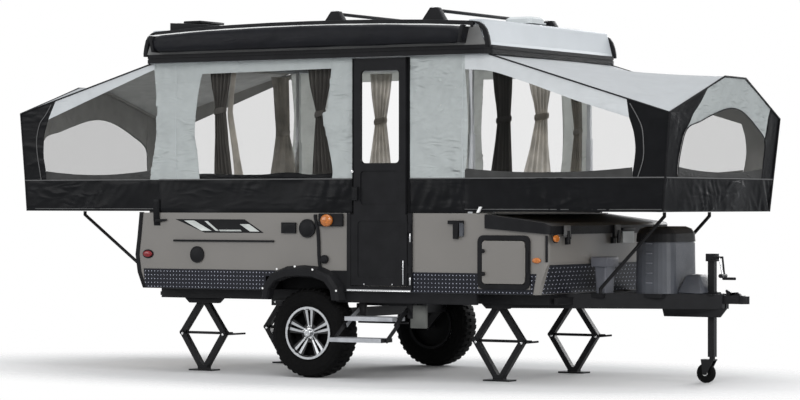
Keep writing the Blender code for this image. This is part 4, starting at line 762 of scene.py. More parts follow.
for label, way in (("front", 1), ("rear", -1)):
    corner_x, corner_y, corner_z, ridge_x, ridge_y, ridge_z, foot_x, root_x, roof_x = ENDS[label]
    seams = SIDE_SEAMS[label]
    top = eave(label)
    pillar = curve(PILLAR_EDGE[label])
    band = curve(seams["band"])
    window_end = curve(seams["window end"])
    bed = f"{label}_bed"
    for hand, side in ((-1, "right"), (1, "left")):
        place = side_place(label, hand)
        seed = 3.0 * way + hand

        skirt = [(pillar[-1][0], SKIRT_TOP), (foot_x + (corner_x - foot_x) * 0.35, SKIRT_TOP),
                 (foot_x, FOOT_Z), (root_x, FOOT_Z), (root_x, SKIRT_TOP - 0.002)]
        piece = cut_cloth(f"skirt_{label}_{side}", skirt, place, "vinyl", "lining", "trailer",
                          depth=0.010, seed=seed, lean=-0.9 * way, cell=0.02)
        flatten(piece)

        low = [Vector((p[0], p[1])) for p in window_end if p[1] > SKIRT_TOP]
        mesh_panel = ([Vector(p) for p in pillar if p[1] > SKIRT_TOP] + [Vector((pillar[-1][0], SKIRT_TOP))]
                      + [Vector((low[-1][0], SKIRT_TOP))] + low[::-1] + band[::-1][1:-1])
        piece = cut_cloth(f"screen_{label}_{side}", mesh_panel, place, f"{label} mesh", f"{label} mesh",
                          "trailer", depth=0.002, seed=seed, thick=0.001, cell=0.09)
        flatten(piece)

        foot = [(pillar[-1][0], SKIRT_TOP), (low[-1][0], SKIRT_TOP)]
        crest = [(foot[1][0] + (foot[0][0] - foot[1][0]) * t,
                  SKIRT_TOP + 0.042 + 0.034 * (2 * t - 1) ** 2) for t in np.linspace(0, 1, 14)]
        piece = cut_cloth(f"window_foot_{label}_{side}", foot + crest, lifted(place, 0.003), "foot band",
                          "lining", "trailer", depth=0.003, seed=seed + 3, cell=0.03)
        flatten(piece)

        start = max(band[0][0], root_x) if way > 0 else min(band[0][0], root_x)
        crest = [Vector((x, top(x) - 0.002)) for x in np.linspace(start, seams["band top"][0], 8)]
        eave_band = crest + [Vector(band[-1])] + band[::-1][1:]
        # the band's lighter cloth is painted light for the sky that its slope catches
        piece = cut_cloth(f"band_{label}_{side}", eave_band, place, "band painted light", "lining", "trailer",
                          depth=0.003, seed=seed + 5, lean=-0.3 * way, cell=0.03)
        flatten(piece)

        crest = [Vector((x, top(x) - 0.002)) for x in np.linspace(seams["band top"][0], corner_x, 5)]
        dark = (crest + [Vector((foot_x + (corner_x - foot_x) * 0.35, SKIRT_TOP)),
                         Vector((low[-1][0], SKIRT_TOP))] + low[::-1][:-1] + [Vector(band[-1])])
        piece = cut_cloth(f"corner_panel_{label}_{side}", dark, place, "vinyl", "lining", "trailer",
                          depth=0.003, seed=seed + 9, lean=1.2, cell=0.03)
        flatten(piece)

        lines = (("corner_piping", [place(*p[:2])[0] for p in curve(seams["piping"])], 0.004, "seam"),
                 ("eave_piping", [(x, y, z) for x, y, z in
                                  [(roof_x, hand * WALL_Y, ROOF_Z), (corner_x, hand * corner_y, corner_z)]],
                  0.006, "black"),
                 ("skirt_piping", [place(x, SKIRT_TOP)[0] for x in
                                   np.linspace(pillar[-1][0], foot_x + (corner_x - foot_x) * 0.35, 8)],
                  0.005, "seam"),
                 ("skirt_hem", [place(x, FOOT_Z + 0.018)[0] for x in np.linspace(root_x, foot_x, 8)],
                  0.003, "seam"))
        for word, line, radius, finish in lines:
            trim = pipe(f"{word}_{label}_{side}", [Vector(p) + Vector((0, hand * 0.004, 0)) for p in line],
                        radius, finish, "trailer")
            flatten(trim)

    # roof of the bed end, from the cabin's roof to the bow
    def roof_place(s, t):
        """s runs from the roof to the bow, t across from the door side."""
        bow_y = np.interp(t, (0, 0.36, 0.64, 1), (-corner_y, -ridge_y, ridge_y, corner_y))
        bow_x = np.interp(t, (0, 0.36, 0.64, 1), (corner_x, ridge_x, ridge_x, corner_x))
        bow_z = np.interp(t, (0, 0.36, 0.64, 1), (corner_z, ridge_z, ridge_z, corner_z))
        root_y = -WALL_Y + 2 * WALL_Y * t
        x = root_x + (bow_x - root_x) * s
        fall = min(1.0, max(0.0, (x - roof_x) / (bow_x - roof_x)))
        across = float(np.interp(fall, (0, 1), (WALL_Y, corner_y)))
        y = (root_y + (bow_y - root_y) * s) * across / (WALL_Y + (corner_y - WALL_Y) * s)
        sag = 0.035 * math.sin(math.pi * fall) * math.sin(math.pi * t)
        return Vector((x, y, ROOF_Z + (bow_z - ROOF_Z) * fall - sag)), (0, 0, 1)

    sheet_top = cut_cloth(f"tent_roof_{label}", [(0, 0), (1, 0), (1, 0.36), (1, 0.64), (1, 1), (0, 1)],
                          roof_place, "tent roof", "roof lining", "trailer", depth=0.003, seed=way * 2.0,
                          cell=0.03, crease=(0.5, 0.2))
    flatten(sheet_top)

    # end wall, which goes with its bed
    place = end_place(label, way)

    def bow_height(y):
        return float(np.interp(abs(y), (ridge_y, corner_y), (ridge_z, corner_z)))

    arch = curve(((-0.782, 1.562), (-0.770, 1.740), (-0.692, 1.922), (-0.470, 1.985), (-0.246, 2.045),
                  (-0.037, 2.090), (0.150, 2.095), (0.346, 2.055), (0.564, 1.968), (0.753, 1.864),
                  (0.770, 1.700), (0.765, 1.562)))
    skirt = [(-FOOT_HALF, FOOT_Z), (FOOT_HALF, FOOT_Z), (FOOT_HALF + 0.012, SKIRT_TOP),
             (-FOOT_HALF - 0.012, SKIRT_TOP)]
    piece = cut_cloth(f"end_skirt_{label}", skirt, place, "end vinyl", "lining", bed, depth=0.012,
                      seed=way * 4.0, lean=-1.0, cell=0.02)
    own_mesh(piece)
    cut_cloth(f"end_screen_{label}", arch, place, "end mesh", "end mesh", bed, depth=0.001, thick=0.001,
              seed=way * 5.0, cell=0.09)
    foot = [(-0.775, SKIRT_TOP), (0.765, SKIRT_TOP)]
    crest = [(foot[1][0] + (foot[0][0] - foot[1][0]) * t, SKIRT_TOP + 0.045 + 0.035 * (2 * t - 1) ** 2)
             for t in np.linspace(0, 1, 16)]
    cut_cloth(f"end_window_foot_{label}", foot + crest, lifted(place, 0.003), "foot band", "lining", bed,
              depth=0.003, seed=way * 8.0, cell=0.03)
    flap_left = curve(((-0.430, bow_height(-0.43)), (-0.511, 2.123), (-0.592, 2.040), (-0.640, 1.975),
                       (-0.692, 1.922)))
    flap_right = curve(((0.790, bow_height(0.79)), (0.785, 2.050), (0.775, 1.954), (0.753, 1.864)))
    inside = [p for p in arch if p[1] > 1.864 and -0.692 < p[0] < 0.753]
    flap = ([(-ridge_y, ridge_z), (ridge_y, ridge_z)] + flap_right + inside[::-1] + flap_left[::-1])
    cut_cloth(f"end_flap_{label}", flap, place, "canvas", "lining", bed, depth=0.008, seed=way * 6.0,
              cell=0.02, crease=(0.14, 0.05))
    for name, edge, sign in (("near", flap_left, -1), ("far", flap_right, 1)):
        inner = [p for p in arch if p[0] * sign > 0.60 and p[1] < edge[-1][1]]
        if sign < 0:
            inner = inner[::-1]
        outline = ([(edge[0][0], edge[0][1]), (sign * corner_y, corner_z),
                    (sign * (FOOT_HALF + 0.012), SKIRT_TOP)]
                   + sorted(inner, key=lambda p: p[1]) + edge[::-1][:-1])
        cut_cloth(f"end_border_{name}_{label}", outline, place, "end vinyl", "lining", bed, depth=0.004,
                  seed=way * 7.0 + sign, lean=1.3, cell=0.03)
    out = Vector((way * 0.006, 0, 0))
    pipe(f"bow_piping_{label}", [Vector(p) + out for p in
                                 [(foot_x, -FOOT_HALF, FOOT_Z), (corner_x, -corner_y, corner_z),
                                  (ridge_x, -ridge_y, ridge_z), (ridge_x, ridge_y, ridge_z),
                                  (corner_x, corner_y, corner_z), (foot_x, FOOT_HALF, FOOT_Z)]],
         0.008, "black", bed)
    pipe(f"window_piping_{label}", [Vector(place(*p[:2])[0]) + out for p in arch], 0.004, "black", bed)
    pipe(f"end_skirt_piping_{label}", [Vector(place(y, SKIRT_TOP)[0]) + out for y in
                                       np.linspace(-FOOT_HALF, FOOT_HALF, 8)], 0.005, "seam", bed)
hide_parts("canvas_front")
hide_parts("canvas_rear")


# Cabin side walls
MAIN_WINDOW = {
    "left": ((-1.029, 2.411), (-1.049, 2.345), (-1.084, 2.157), (-1.104, 1.927), (-1.079, 1.787),
             (-1.054, 1.562)),
    "right": ((0.207, 1.562), (0.207, 1.655), (0.165, 1.855), (0.117, 2.063), (0.160, 2.119), (0.198, 2.426)),
}
GALLEY_WINDOW = {
    "left": ((0.420, 2.411), (0.405, 2.150), (0.400, 1.900), (0.425, 1.562)),
    "right": ((1.140, 1.562), (1.165, 1.750), (1.170, 2.000), (1.150, 2.411)),
}

DOORWAY = (0.390, 0.9145)    # where the cloth stops at each side of the entry door


def straight(x):
    """Upright edge of the cloth beside the doorway, from the top down."""
    return [Vector((x, 2.40)), Vector((x, 2.0)), Vector((x, SKIRT_TOP))]


def edge_of(line):
    """Edge of a cloth from the top down, cut off at the skirt."""
    line = [Vector(p) for p in line]
    if line[0].y < line[-1].y:
        line = line[::-1]
    return [p for p in line if p.y >= SKIRT_TOP - 1e-6]


for hand, side in ((-1, "right"), (1, "left")):
    place = wall_place(hand)
    low_z, high_z = SKIRT_TOP, ROOF_Z
    cloth = "canvas" if hand < 0 else "far canvas"
    windows = [("main", MAIN_WINDOW)] + ([] if hand < 0 else [("galley", GALLEY_WINDOW)])
    edges = {key: curve(PILLAR_EDGE[key]) for key in PILLAR_EDGE}

    # the wall's cloth is cut at its window's middle, so that no panel is a ring
    def wall_panel(name, left, right, seed):
        outline = [(left[0][0], high_z - 0.001), *left, *right[::-1], (right[0][0], high_z - 0.001)]
        return cut_cloth(name, outline, place, cloth, "inner cloth", "trailer", depth=0.019, seed=seed,
                         cell=0.018, crease=(0.16, 0.044))

    runs = [("rear_pillar", edge_of(edges["rear"]), edge_of(curve(MAIN_WINDOW["left"])))]
    if hand < 0:
        runs += [("door_pillar", edge_of(curve(MAIN_WINDOW["right"])), straight(DOORWAY[0])),
                 ("front_pillar", straight(DOORWAY[1]), edge_of(edges["front"]))]
    else:
        runs += [("middle_pillar", edge_of(curve(MAIN_WINDOW["right"])),
                  edge_of(curve(GALLEY_WINDOW["left"]))),
                 ("front_pillar", edge_of(curve(GALLEY_WINDOW["right"])), edge_of(edges["front"]))]
    for i, (word, left, right) in enumerate(runs):
        wall_panel(f"{word}_{side}", left, right, hand * 11.0 + i)
    for word, window in windows:
        left, right = edge_of(curve(window["left"])), edge_of(curve(window["right"]))
        header = [(left[0].x, high_z - 0.001), (left[0].x, left[0].y), (right[0].x, right[0].y),
                  (right[0].x, high_z - 0.001)]
        cut_cloth(f"{word}_header_{side}", header, place, cloth, "inner cloth", "trailer", depth=0.002,
                  seed=hand * 13.0, cell=0.03)
        glass = left + right[::-1]
        cut_cloth(f"{word}_screen_{side}", glass, place, "cabin mesh", "cabin mesh", "trailer", depth=0.001,
                  seed=hand * 14.0, thick=0.001, cell=0.12)
        bottom = [(left[-1].x - 0.015, low_z), (right[-1].x + 0.015, low_z)]
        crest = [(x, low_z + 0.045 + 0.016 * noise.noise(Vector((x * 5.0, hand, 0.3))))
                 for x in np.linspace(bottom[1][0], bottom[0][0], 24)]
        cut_cloth(f"{word}_sill_{side}", bottom + crest, lifted(place, -0.004), "vinyl", "lining", "trailer",
                  depth=0.008, seed=hand * 15.0, cell=0.02, crease=(0.10, 0.05))
    spans = ((-1.450, DOORWAY[0]), (DOORWAY[1], 1.400)) if hand < 0 else ((-1.450, 1.400),)
    for i, (a, b) in enumerate(spans):
        skirt = [(a, 1.296), (b, 1.296), (b, low_z), (a, low_z)]
        cut_cloth(f"cabin_skirt_{i + 1}_{side}", skirt, place, "vinyl", "lining", "trailer", depth=0.012,
                  seed=hand * 17.0 + i, lean=1.25, cell=0.02, crease=(0.30, 0.07))
        pipe(f"cabin_skirt_piping_{i + 1}_{side}",
             [Vector(place(x, low_z)[0]) + Vector((0, hand * 0.004, 0)) for x in np.linspace(a, b, 6)],
             0.005, "seam", "trailer")
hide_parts("canvas_wall_right")
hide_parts("canvas_wall_left")

# Curtains: the plane each hangs in, its cloth's width, then heights with its two edges' places
NEAR = ("y", -0.965)
FAR = ("y", 0.965)
BED_END = ("x", -1.425)
# The curtains in the bright finish are painted lighter than their cloth, as painted light for the shaded
# cabin.
CURTAINS = (
    ("curtain_main_rear", NEAR, 0.46, "drape", ((2.470, -0.990, -0.780), (2.300, -0.975, -0.805),
     (2.140, -0.944, -0.844), (2.090, -0.944, -0.844), (1.840, -0.946, -0.820), (1.600, -0.949, -0.780))),
    ("curtain_main_sheer", ("y", -0.940), 0.24, "drape painted bright", ((2.430, -0.800, -0.755),
     (2.110, -0.840, -0.790), (2.050, -0.838, -0.780), (1.800, -0.800, -0.730), (1.600, -0.775, -0.685))),
    ("curtain_main_front", NEAR, 0.46, "drape", ((2.470, -0.061, 0.171), (2.300, -0.040, 0.150),
     (2.100, 0.015, 0.100), (2.050, 0.015, 0.100), (1.600, -0.014, 0.180))),
    ("curtain_bed_end", BED_END, 0.70, "drape painted bright", ((2.460, 0.610, 0.850), (2.200, 0.650, 0.855),
     (2.005, 0.685, 0.855), (1.955, 0.685, 0.855), (1.780, 0.625, 0.920), (1.600, 0.577, 0.980))),
    ("curtain_door", FAR, 0.52, "drape painted bright", ((2.480, -0.665, -0.430), (2.300, -0.645, -0.460),
     (2.100, -0.612, -0.500), (2.050, -0.612, -0.500), (1.600, -0.690, -0.440))),
    ("curtain_galley_rear", FAR, 0.50, "drape", ((2.480, 0.540, 0.730), (2.300, 0.555, 0.725),
     (2.095, 0.582, 0.712), (2.045, 0.582, 0.712), (1.620, 0.521, 0.728))),
    ("curtain_galley_front", FAR, 0.56, "drape painted bright", ((2.480, 0.873, 1.100), (2.300, 0.900, 1.085),
     (2.115, 0.945, 1.062), (2.065, 0.945, 1.062), (1.620, 0.830, 1.093))),
    ("curtain_far_front", ("y", 0.940), 0.50, "drape painted bright", ((2.480, 1.270, 1.385), (2.223, 1.290, 1.385),
     (1.985, 1.320, 1.385), (1.935, 1.320, 1.385), (1.600, 1.275, 1.385))),
)
for i, (name, plane, width, finish, rows) in enumerate(CURTAINS):
    drape(name, rows, plane, width, finish, "trailer", pleats=5, seed=float(i))
    waist = min(rows, key=lambda row: row[2] - row[1])
    if not name.endswith("sheer"):
        tie_band(name.replace("curtain", "curtain_tie"), waist[0] - 0.025, waist[1:], plane,
                 fold_depth(waist[2] - waist[1], width, 5), finish, "trailer")

# Rigid fittings: each starts as one primitive at its size and place and is then worked on as by hand
OUT_Y = -1.030
RIGHT = (0, -1, 0)
AHEAD = (1, 0, 0)
UP = (0, 0, 1)
TURN_TO = {RIGHT: (90, 0, 0), (0, 1, 0): (-90, 0, 0), AHEAD: (0, 90, 0), UP: (0, 0, 0)}
bpy.context.tool_settings.mesh_select_mode = (False, False, True)


def pick(made, test):
    """Open a piece for editing with the faces selected whose middle and normal pass a test."""
    bpy.ops.object.mode_set(mode="EDIT")
    bpy.ops.mesh.select_all(action="DESELECT")
    bpy.ops.object.mode_set(mode="OBJECT")
    for face in made.data.polygons:
        face.select = bool(test(face.center, face.normal))
    bpy.ops.object.mode_set(mode="EDIT")


def facing(way, limit=0.9):
    """Test for the faces that look a given way."""
    way = Vector(way)
    return lambda middle, normal: normal.dot(way) > limit


def sunk(rings):
    """Inset the selected faces again and again, each time by a width and a depth."""
    for width, depth in rings:
        bpy.ops.mesh.inset(thickness=width, depth=depth)


def started():
    """The fresh primitive with its size and place in its mesh."""
    bpy.ops.object.transform_apply(location=True, rotation=True, scale=True)
    return bpy.context.object


def finished(made, name, finish, body="trailer", edge=0.0, steps=2, smooth=35):
    """Round the edges, name the piece, give it its finish and let it ride on its body."""
    if made.mode == "EDIT":
        bpy.ops.object.mode_set(mode="OBJECT")
    if edge:
        bevel = made.modifiers.new("edges", "BEVEL")
        bevel.width = edge
        bevel.segments = steps
        bpy.ops.object.modifier_apply(modifier="edges")
    bpy.ops.object.shade_smooth_by_angle(angle=math.radians(smooth))
    made.name = name
    made.data.name = name
    made.data.transform(ROW)
    made.data.materials.append(MATERIALS[finish])
    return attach(made, body)


def block(name, x, y, z, finish, face=RIGHT, rings=((0.004, -0.001),), moves=(), edge=0.002, steps=2,
          body="trailer"):
    """Rounded block with a panel worked into one face. Moves shift or shrink a whole side first."""
    bpy.ops.object.select_all(action="DESELECT")
    bpy.ops.mesh.primitive_cube_add(size=1, location=[sum(pair) / 2 for pair in (x, y, z)],
                                    scale=[pair[1] - pair[0] for pair in (x, y, z)])
    made = started()
    for side, shift, scale in moves:
        pick(made, facing(side))
        bpy.ops.transform.resize(value=scale)
        bpy.ops.transform.translate(value=shift)
        bpy.ops.object.mode_set(mode="OBJECT")
    pick(made, facing(face, 0.7))
    sunk(rings)
    return finished(made, name, finish, body, edge, steps)


def knob(name, base, half, height, finish, face=RIGHT, rings=((0.006, 0.0),), sides=24, edge=0.0015,
         body="trailer"):
    """Round or oval knob standing on its base. Half is its half width and half height."""
    way = Vector(face)
    bpy.ops.object.select_all(action="DESELECT")
    stretch = (half[1], half[0], 1) if face == AHEAD else (half[0], half[1], 1)
    bpy.ops.mesh.primitive_cylinder_add(vertices=sides, radius=1, depth=height,
                                        location=Vector(base) + way * height / 2,
                                        rotation=[math.radians(a) for a in TURN_TO[face]], scale=stretch)
    made = started()
    pick(made, facing(face))
    sunk(rings)
    return finished(made, name, finish, body, edge)


def rod(name, start, end, radius, finish, body="trailer", sides=12, edge=0.0):
    """Round bar with rounded ends."""
    start, end = Vector(start), Vector(end)
    way = (end - start).normalized()
    bpy.ops.object.select_all(action="DESELECT")
    bpy.ops.mesh.primitive_cylinder_add(vertices=sides, radius=radius, depth=(end - start).length,
                                        location=(start + end) / 2,
                                        rotation=way.to_track_quat("Z", "Y").to_euler())
    made = started()
    pick(made, lambda middle, normal: abs(normal.dot(way)) > 0.9)
    sunk(((radius * 0.3, radius * 0.25),))
    return finished(made, name, finish, body, edge)


def strip(name, x, y, z, shifts, finish, way=(0, 0, -1), edge=0.002, body="trailer"):
    """Moulding that starts as a short block and is drawn out along shifts of its end face."""
    bpy.ops.object.select_all(action="DESELECT")
    bpy.ops.mesh.primitive_cube_add(size=1, location=[sum(pair) / 2 for pair in (x, y, z)],
                                    scale=[pair[1] - pair[0] for pair in (x, y, z)])
    made = started()
    pick(made, facing(way))
    for shift in shifts:
        bpy.ops.mesh.extrude_region_move(TRANSFORM_OT_translate={"value": shift})
    return finished(made, name, finish, body, edge)


def again(piece, name, shift):
    """Another of the same piece, with its own mesh, moved by a shift."""
    made = piece.copy()
    made.data = piece.data.copy()
    made.name = name
    made.data.name = name
    bpy.context.scene.collection.objects.link(made)
    made.data.transform(Matrix.Translation(shift))
    return made


# Door side of the tub
knob("shower_port", (-1.070, OUT_Y, 0.959), (0.067, 0.067), 0.012, "black",
     rings=((0.008, -0.004), (0.018, 0.006), (0.012, 0.003)))
knob("cable_port", (-0.016, OUT_Y, 1.174), (0.0735, 0.0735), 0.018, "black",
     rings=((0.010, -0.003), (0.010, 0.009), (0.018, 0.006), (0.014, 0.003)))
block("outlet_cover", (-0.256, -0.122), (OUT_Y - 0.018, OUT_Y), (1.135, 1.220), "black",
      rings=((0.010, -0.003), (0.008, 0.004)))
block("side_rail", (-1.300, -0.330), (OUT_Y - 0.014, OUT_Y), (1.063, 1.078), "black",
      rings=((0.003, -0.004),))
block("stripe_back", (-1.000, -0.430), (OUT_Y - 0.002, OUT_Y), (1.136, 1.243), "black", edge=0.0006,
      moves=((UP, (-0.235, 0, 0), (1.18, 1, 1)),), rings=((0.004, -0.0006),))
for i, (low, high, foot, top, lean) in enumerate((
        (-1.030, -0.930, 1.150, 1.232, -0.170), (-0.890, -0.860, 1.150, 1.228, -0.110),
        (-0.560, -0.470, 1.146, 1.205, -0.100), (-0.850, -0.640, 1.147, 1.160, -0.012))):
    block(f"stripe_film_{i + 1}", (low, high), (OUT_Y - 0.0035, OUT_Y - 0.0015), (foot, top), "silver",
          edge=0.0005, moves=((UP, (lean, 0, 0), (1, 1, 1)),), rings=((0.003, -0.0003),))
knob("side_marker_base", (-1.557, OUT_Y, 0.960), (0.054, 0.036), 0.006, "black", rings=((0.006, -0.002),))
knob("side_marker_lens", (-1.557, OUT_Y - 0.004, 0.960), (0.043, 0.025), 0.010, "red",
     rings=((0.008, 0.004), (0.006, 0.002)))
block("porch_lamp_base", (0.095, 0.319), (OUT_Y - 0.026, OUT_Y), (1.191, 1.292), "black", edge=0.008,
      steps=3, rings=((0.012, -0.003),))
knob("porch_lamp_lens", (0.177, OUT_Y - 0.022, 1.237), (0.053, 0.048), 0.018, "amber",
     rings=((0.008, 0.008), (0.010, 0.006), (0.012, 0.003)), edge=0.002)
strip("corner_moulding", (0.045, 0.071), (OUT_Y - 0.014, OUT_Y), (1.262, 1.284),
      ((0.012, 0, -0.050), (0.014, 0, -0.062), (0.006, 0, -0.090), (0.002, 0, -0.090), (0.006, 0, -0.070),
       (0.012, 0, -0.059)), "black")
knob("hose_port", (0.146, OUT_Y, 0.932), (0.034, 0.034), 0.022, "black",
     rings=((0.006, -0.003), (0.006, 0.008)))
block("bracket_bar", (1.262, 1.397), (OUT_Y - 0.022, OUT_Y), (1.213, 1.240), "black",
      rings=((0.005, -0.003),))
block("bracket_leg", (1.312, 1.360), (OUT_Y - 0.030, OUT_Y), (1.100, 1.222), "black",
      rings=((0.006, -0.004),), moves=(((0, 0, -1), (-0.004, 0, 0), (0.8, 1, 1)),))
block("bracket_cheek", (1.366, 1.397), (OUT_Y - 0.024, OUT_Y), (1.120, 1.222), "charcoal",
      rings=((0.005, -0.003),))
strip("rear_strap", (-1.500, -1.440), (OUT_Y - 0.012, OUT_Y - 0.006), (1.382, 1.402),
      ((0, 0, -0.090), (0, 0.004, -0.060), (0.004, 0.002, -0.041)), "vinyl")
block("rear_strap_hook", (-1.475, -1.371), (OUT_Y - 0.020, OUT_Y), (1.214, 1.243), "black",
      rings=((0.006, 0.003),), moves=((AHEAD, (0, 0, 0.008), (1, 1, 0.5)),))
bolt = knob("flare_bolt_1", (-0.249, -1.118, 0.853), (0.0085, 0.0085), 0.004, "white", sides=12,
            rings=((0.003, 0.002),), edge=0.0006)
again(bolt, "flare_bolt_2", (0.166, 0.004, 0.022))
again(bolt, "flare_bolt_3", (0.333, 0, -0.001))
for word, x, z in (("lower", -0.385, 0.700), ("front", 0.300, 0.690)):
    again(bolt, f"flare_bolt_{word}", (x + 0.249, 0.004, z - 0.853))
for word, x in (("rear", (0.353, 0.402)), ("front", (0.868, 0.945))):
    block(f"door_jamb_{word}", x, (-1.013, -0.985), (1.298, 2.500), "black", rings=((0.008, -0.003),))
block("threshold", (0.360, 0.936), (OUT_Y - 0.026, OUT_Y - 0.004), (0.690, 0.703), "bright",
      rings=((0.003, -0.002),), edge=0.001)
for i, z in enumerate(((0.742, 0.800), (1.073, 1.138))):
    block(f"door_hinge_mark_{i + 1}", (0.925, 0.935), (OUT_Y - 0.022, OUT_Y - 0.015), z, "bright",
          rings=((0.002, 0.0005),), edge=0.001)
block("door_edge_strip", (0.868, 0.876), (-1.060, -1.057), (0.745, 0.930), "bright", body="entry_door",
      rings=((0.002, 0.0005),), edge=0.0008)
screw = knob("kick_screw_1", (0.520, -1.058, 0.746), (0.005, 0.005), 0.003, "bright", body="entry_door",
             rings=((0.002, -0.001),), sides=10, edge=0.0005)
again(screw, "kick_screw_2", (0.255, 0, 0))
block("door_handle", (0.415, 0.462), (-1.074, -1.056), (1.395, 1.500), "black", body="entry_door",
      rings=((0.008, -0.005), (0.006, 0.004)), edge=0.004, steps=3)
knob("door_lock", (0.412, -1.056, 1.620), (0.011, 0.011), 0.006, "bright", body="entry_door",
     rings=((0.003, -0.001), (0.003, 0.001)), sides=16, edge=0.001)
latch = knob("hatch_latch_1", (1.575, -1.056, 1.010), (0.016, 0.016), 0.010, "black", body="cargo_hatch",
             rings=((0.004, -0.002), (0.004, 0.005)), edge=0.001)
again(latch, "hatch_latch_2", (0.003, 0, -0.172))
knob("trunk_side_marker", (2.024, OUT_Y, 0.942), (0.036, 0.021), 0.012, "amber",
     rings=((0.006, 0.004), (0.006, 0.002)))

# Frame fittings seen below the side
block("shackle_plate", (-0.470, -0.290), (-0.860, -0.848), (0.556, 0.604), "steel", rings=((0.006, 0.002),))
again(bolt, "shackle_bolt_1", (-0.434 + 0.249, 0.258, 0.583 - 0.853))
again(bolt, "shackle_bolt_2", (-0.325 + 0.249, 0.258, 0.583 - 0.853))
block("junction_plate", (0.860, 1.005), (-0.930, -0.905), (0.405, 0.585), "dull plate",
      rings=((0.012, -0.003), (0.008, 0.003)), edge=0.010, steps=3)
block("junction_stem", (0.905, 0.960), (-0.906, -0.830), (0.520, 0.640), "steel", rings=((0.01, 0.002),))
for word, x in (("rear", 0.392), ("front", 0.822)):
    block(f"step_bracket_{word}", (x, x + 0.060), (-0.935, -0.900), (0.480, 0.660), "steel",
          rings=((0.010, -0.004),), moves=(((0, 0, -1), (0.01, 0, 0), (0.75, 1, 1)),))
knob("water_cap", (0.262, -0.925, 0.655), (0.036, 0.036), 0.120, "black",
     rings=((0.006, -0.004), (0.010, 0.006)))
knob("water_cap_face", (0.262, -1.045, 0.655), (0.024, 0.024), 0.004, "silver", rings=((0.006, -0.002),))
for word, y in (("right", -0.700), ("left", 0.660)):
    block(f"front_jack_gusset_{word}", (1.36, 1.64), (y, y + 0.040), (0.560, 0.600), "steel",
          rings=((0.008, 0.003),), moves=(((0, 0, -1), (0, 0, 0), (0.7, 1, 1)),))
    block(f"rear_jack_gusset_{word}", (-1.43, -1.05), (y, y + 0.040), (0.556, 0.600), "steel",
          rings=((0.008, 0.003),), moves=(((0, 0, -1), (0, 0, 0), (0.75, 1, 1)),))

# Front of the trunk
LID_FACE = 2.145
for hand, side in ((-1, "right"), (1, "left")):
    knob(f"front_marker_base_{side}", (LID_FACE, hand * 0.962, 1.107), (0.056, 0.035), 0.005, "black",
         face=AHEAD, rings=((0.006, -0.002),))
for name, y in (("front_marker", -0.962), ("front_marker_far", 0.962)):
    knob(name, (LID_FACE, y, 1.107), (0.048, 0.027), 0.012, "amber", face=AHEAD,
         rings=((0.007, 0.004), (0.007, 0.002)))
for i, y in enumerate((-0.782, 0.071)):
    block(f"draw_latch_{i + 1}", (LID_FACE, LID_FACE + 0.012), (y - 0.048, y + 0.048), (1.118, 1.206),
          "seam", face=AHEAD, rings=((0.010, -0.004), (0.008, 0.006)), edge=0.003)
    block(f"draw_latch_lever_{i + 1}", (LID_FACE + 0.006, LID_FACE + 0.022), (y - 0.016, y + 0.016),
          (1.062, 1.165), "black", face=AHEAD, rings=((0.004, -0.003),), edge=0.003)
block("bare_holder", (LID_FACE, LID_FACE + 0.006), (0.162, 0.362), (1.062, 1.152), "pale", face=AHEAD,
      rings=((0.006, -0.002),), edge=0.001)
block("lid_light", (LID_FACE - 0.012, LID_FACE + 0.010), (0.150, 0.374), (1.160, 1.180), "black",
      face=AHEAD, rings=((0.004, 0.002),), edge=0.002)
block("lid_hook", (1.515, 1.535), (-1.058, -1.034), (1.300, 1.345), "white", rings=((0.004, -0.002),),
      moves=((UP, (0.024, 0, 0), (1, 1, 1)),), edge=0.003)
block("frame_front_bar", (2.036, 2.062), (-0.780, 0.780), (0.600, 0.655), "steel", face=AHEAD,
      rings=((0.008, -0.003),))

# Roof, whose side line rises a little to its middle
RISE = (0.020, 0.012, 0.006, 0.001, -0.003, -0.008, -0.013, -0.020)


def arched(name, y, z, x, finish, **more):
    """Rail along the roof's side, drawn out length by length over its rise."""
    length = (x[1] - x[0]) / len(RISE)
    shifts = [(length, 0, rise) for rise in RISE]
    return strip(name, (x[0] - 0.010, x[0]), y, z, shifts, finish, way=AHEAD, **more)


for hand, side in ((-1, "right"), (1, "left")):
    y = sorted((hand * 1.078, hand * 1.046))
    arched(f"roof_side_rail_{side}", y, (2.712, 2.762), (-1.450, 1.500), "black", edge=0.006)
    strip(f"roof_corner_rear_{side}", (-1.574, -1.536), y, (2.560, 2.590),
          ((0.008, 0, 0.050), (0.014, 0, 0.050), (0.022, 0, 0.036), (0.040, 0, 0.026), (0.052, 0, 0.010)),
          "black", way=UP, edge=0.004)
    strip(f"roof_corner_front_{side}", (1.602, 1.640), y, (2.560, 2.590),
          ((-0.010, 0, 0.050), (-0.018, 0, 0.050), (-0.028, 0, 0.036), (-0.046, 0, 0.024),
           (-0.052, 0, 0.008)), "black", way=UP, edge=0.004)
    block(f"roof_side_panel_{side}", (-1.540, 1.606), sorted((hand * 1.0735, hand * 1.060)),
          (2.574, 2.722), "side grey", face=(0, hand, 0), rings=((0.010, -0.001),), edge=0.001,
          moves=((UP, (0, 0, 0), (0.962, 1, 1)),))
for word, x, way in (("rear", (-1.550, -1.380), (-1, 0, 0)), ("front", (1.440, 1.617), AHEAD)):
    block(f"roof_end_{word}", x, (-1.056, 1.056), (2.574, 2.772), "roof", face=way, edge=0.012, steps=4,
          rings=((0.020, -0.002),), moves=((UP, (-0.024 * way[0], 0, 0), (0.72, 0.992, 1)),))
arched("awning_rail", (-1.128, -1.080), (2.716, 2.728), (-1.480, 1.478), "white")
for word, x, lean in (("rear", -1.458, 0.026), ("front", 1.440, -0.030)):
    block(f"awning_cap_{word}", (x, x + 0.030), (-1.172, -1.074), (2.590, 2.722), "black",
          face=(math.copysign(1, -lean), 0, 0), rings=((0.012, -0.004),), edge=0.004,
          moves=(((0, 0, -1), (lean, 0, 0), (0.8, 1, 1)),))
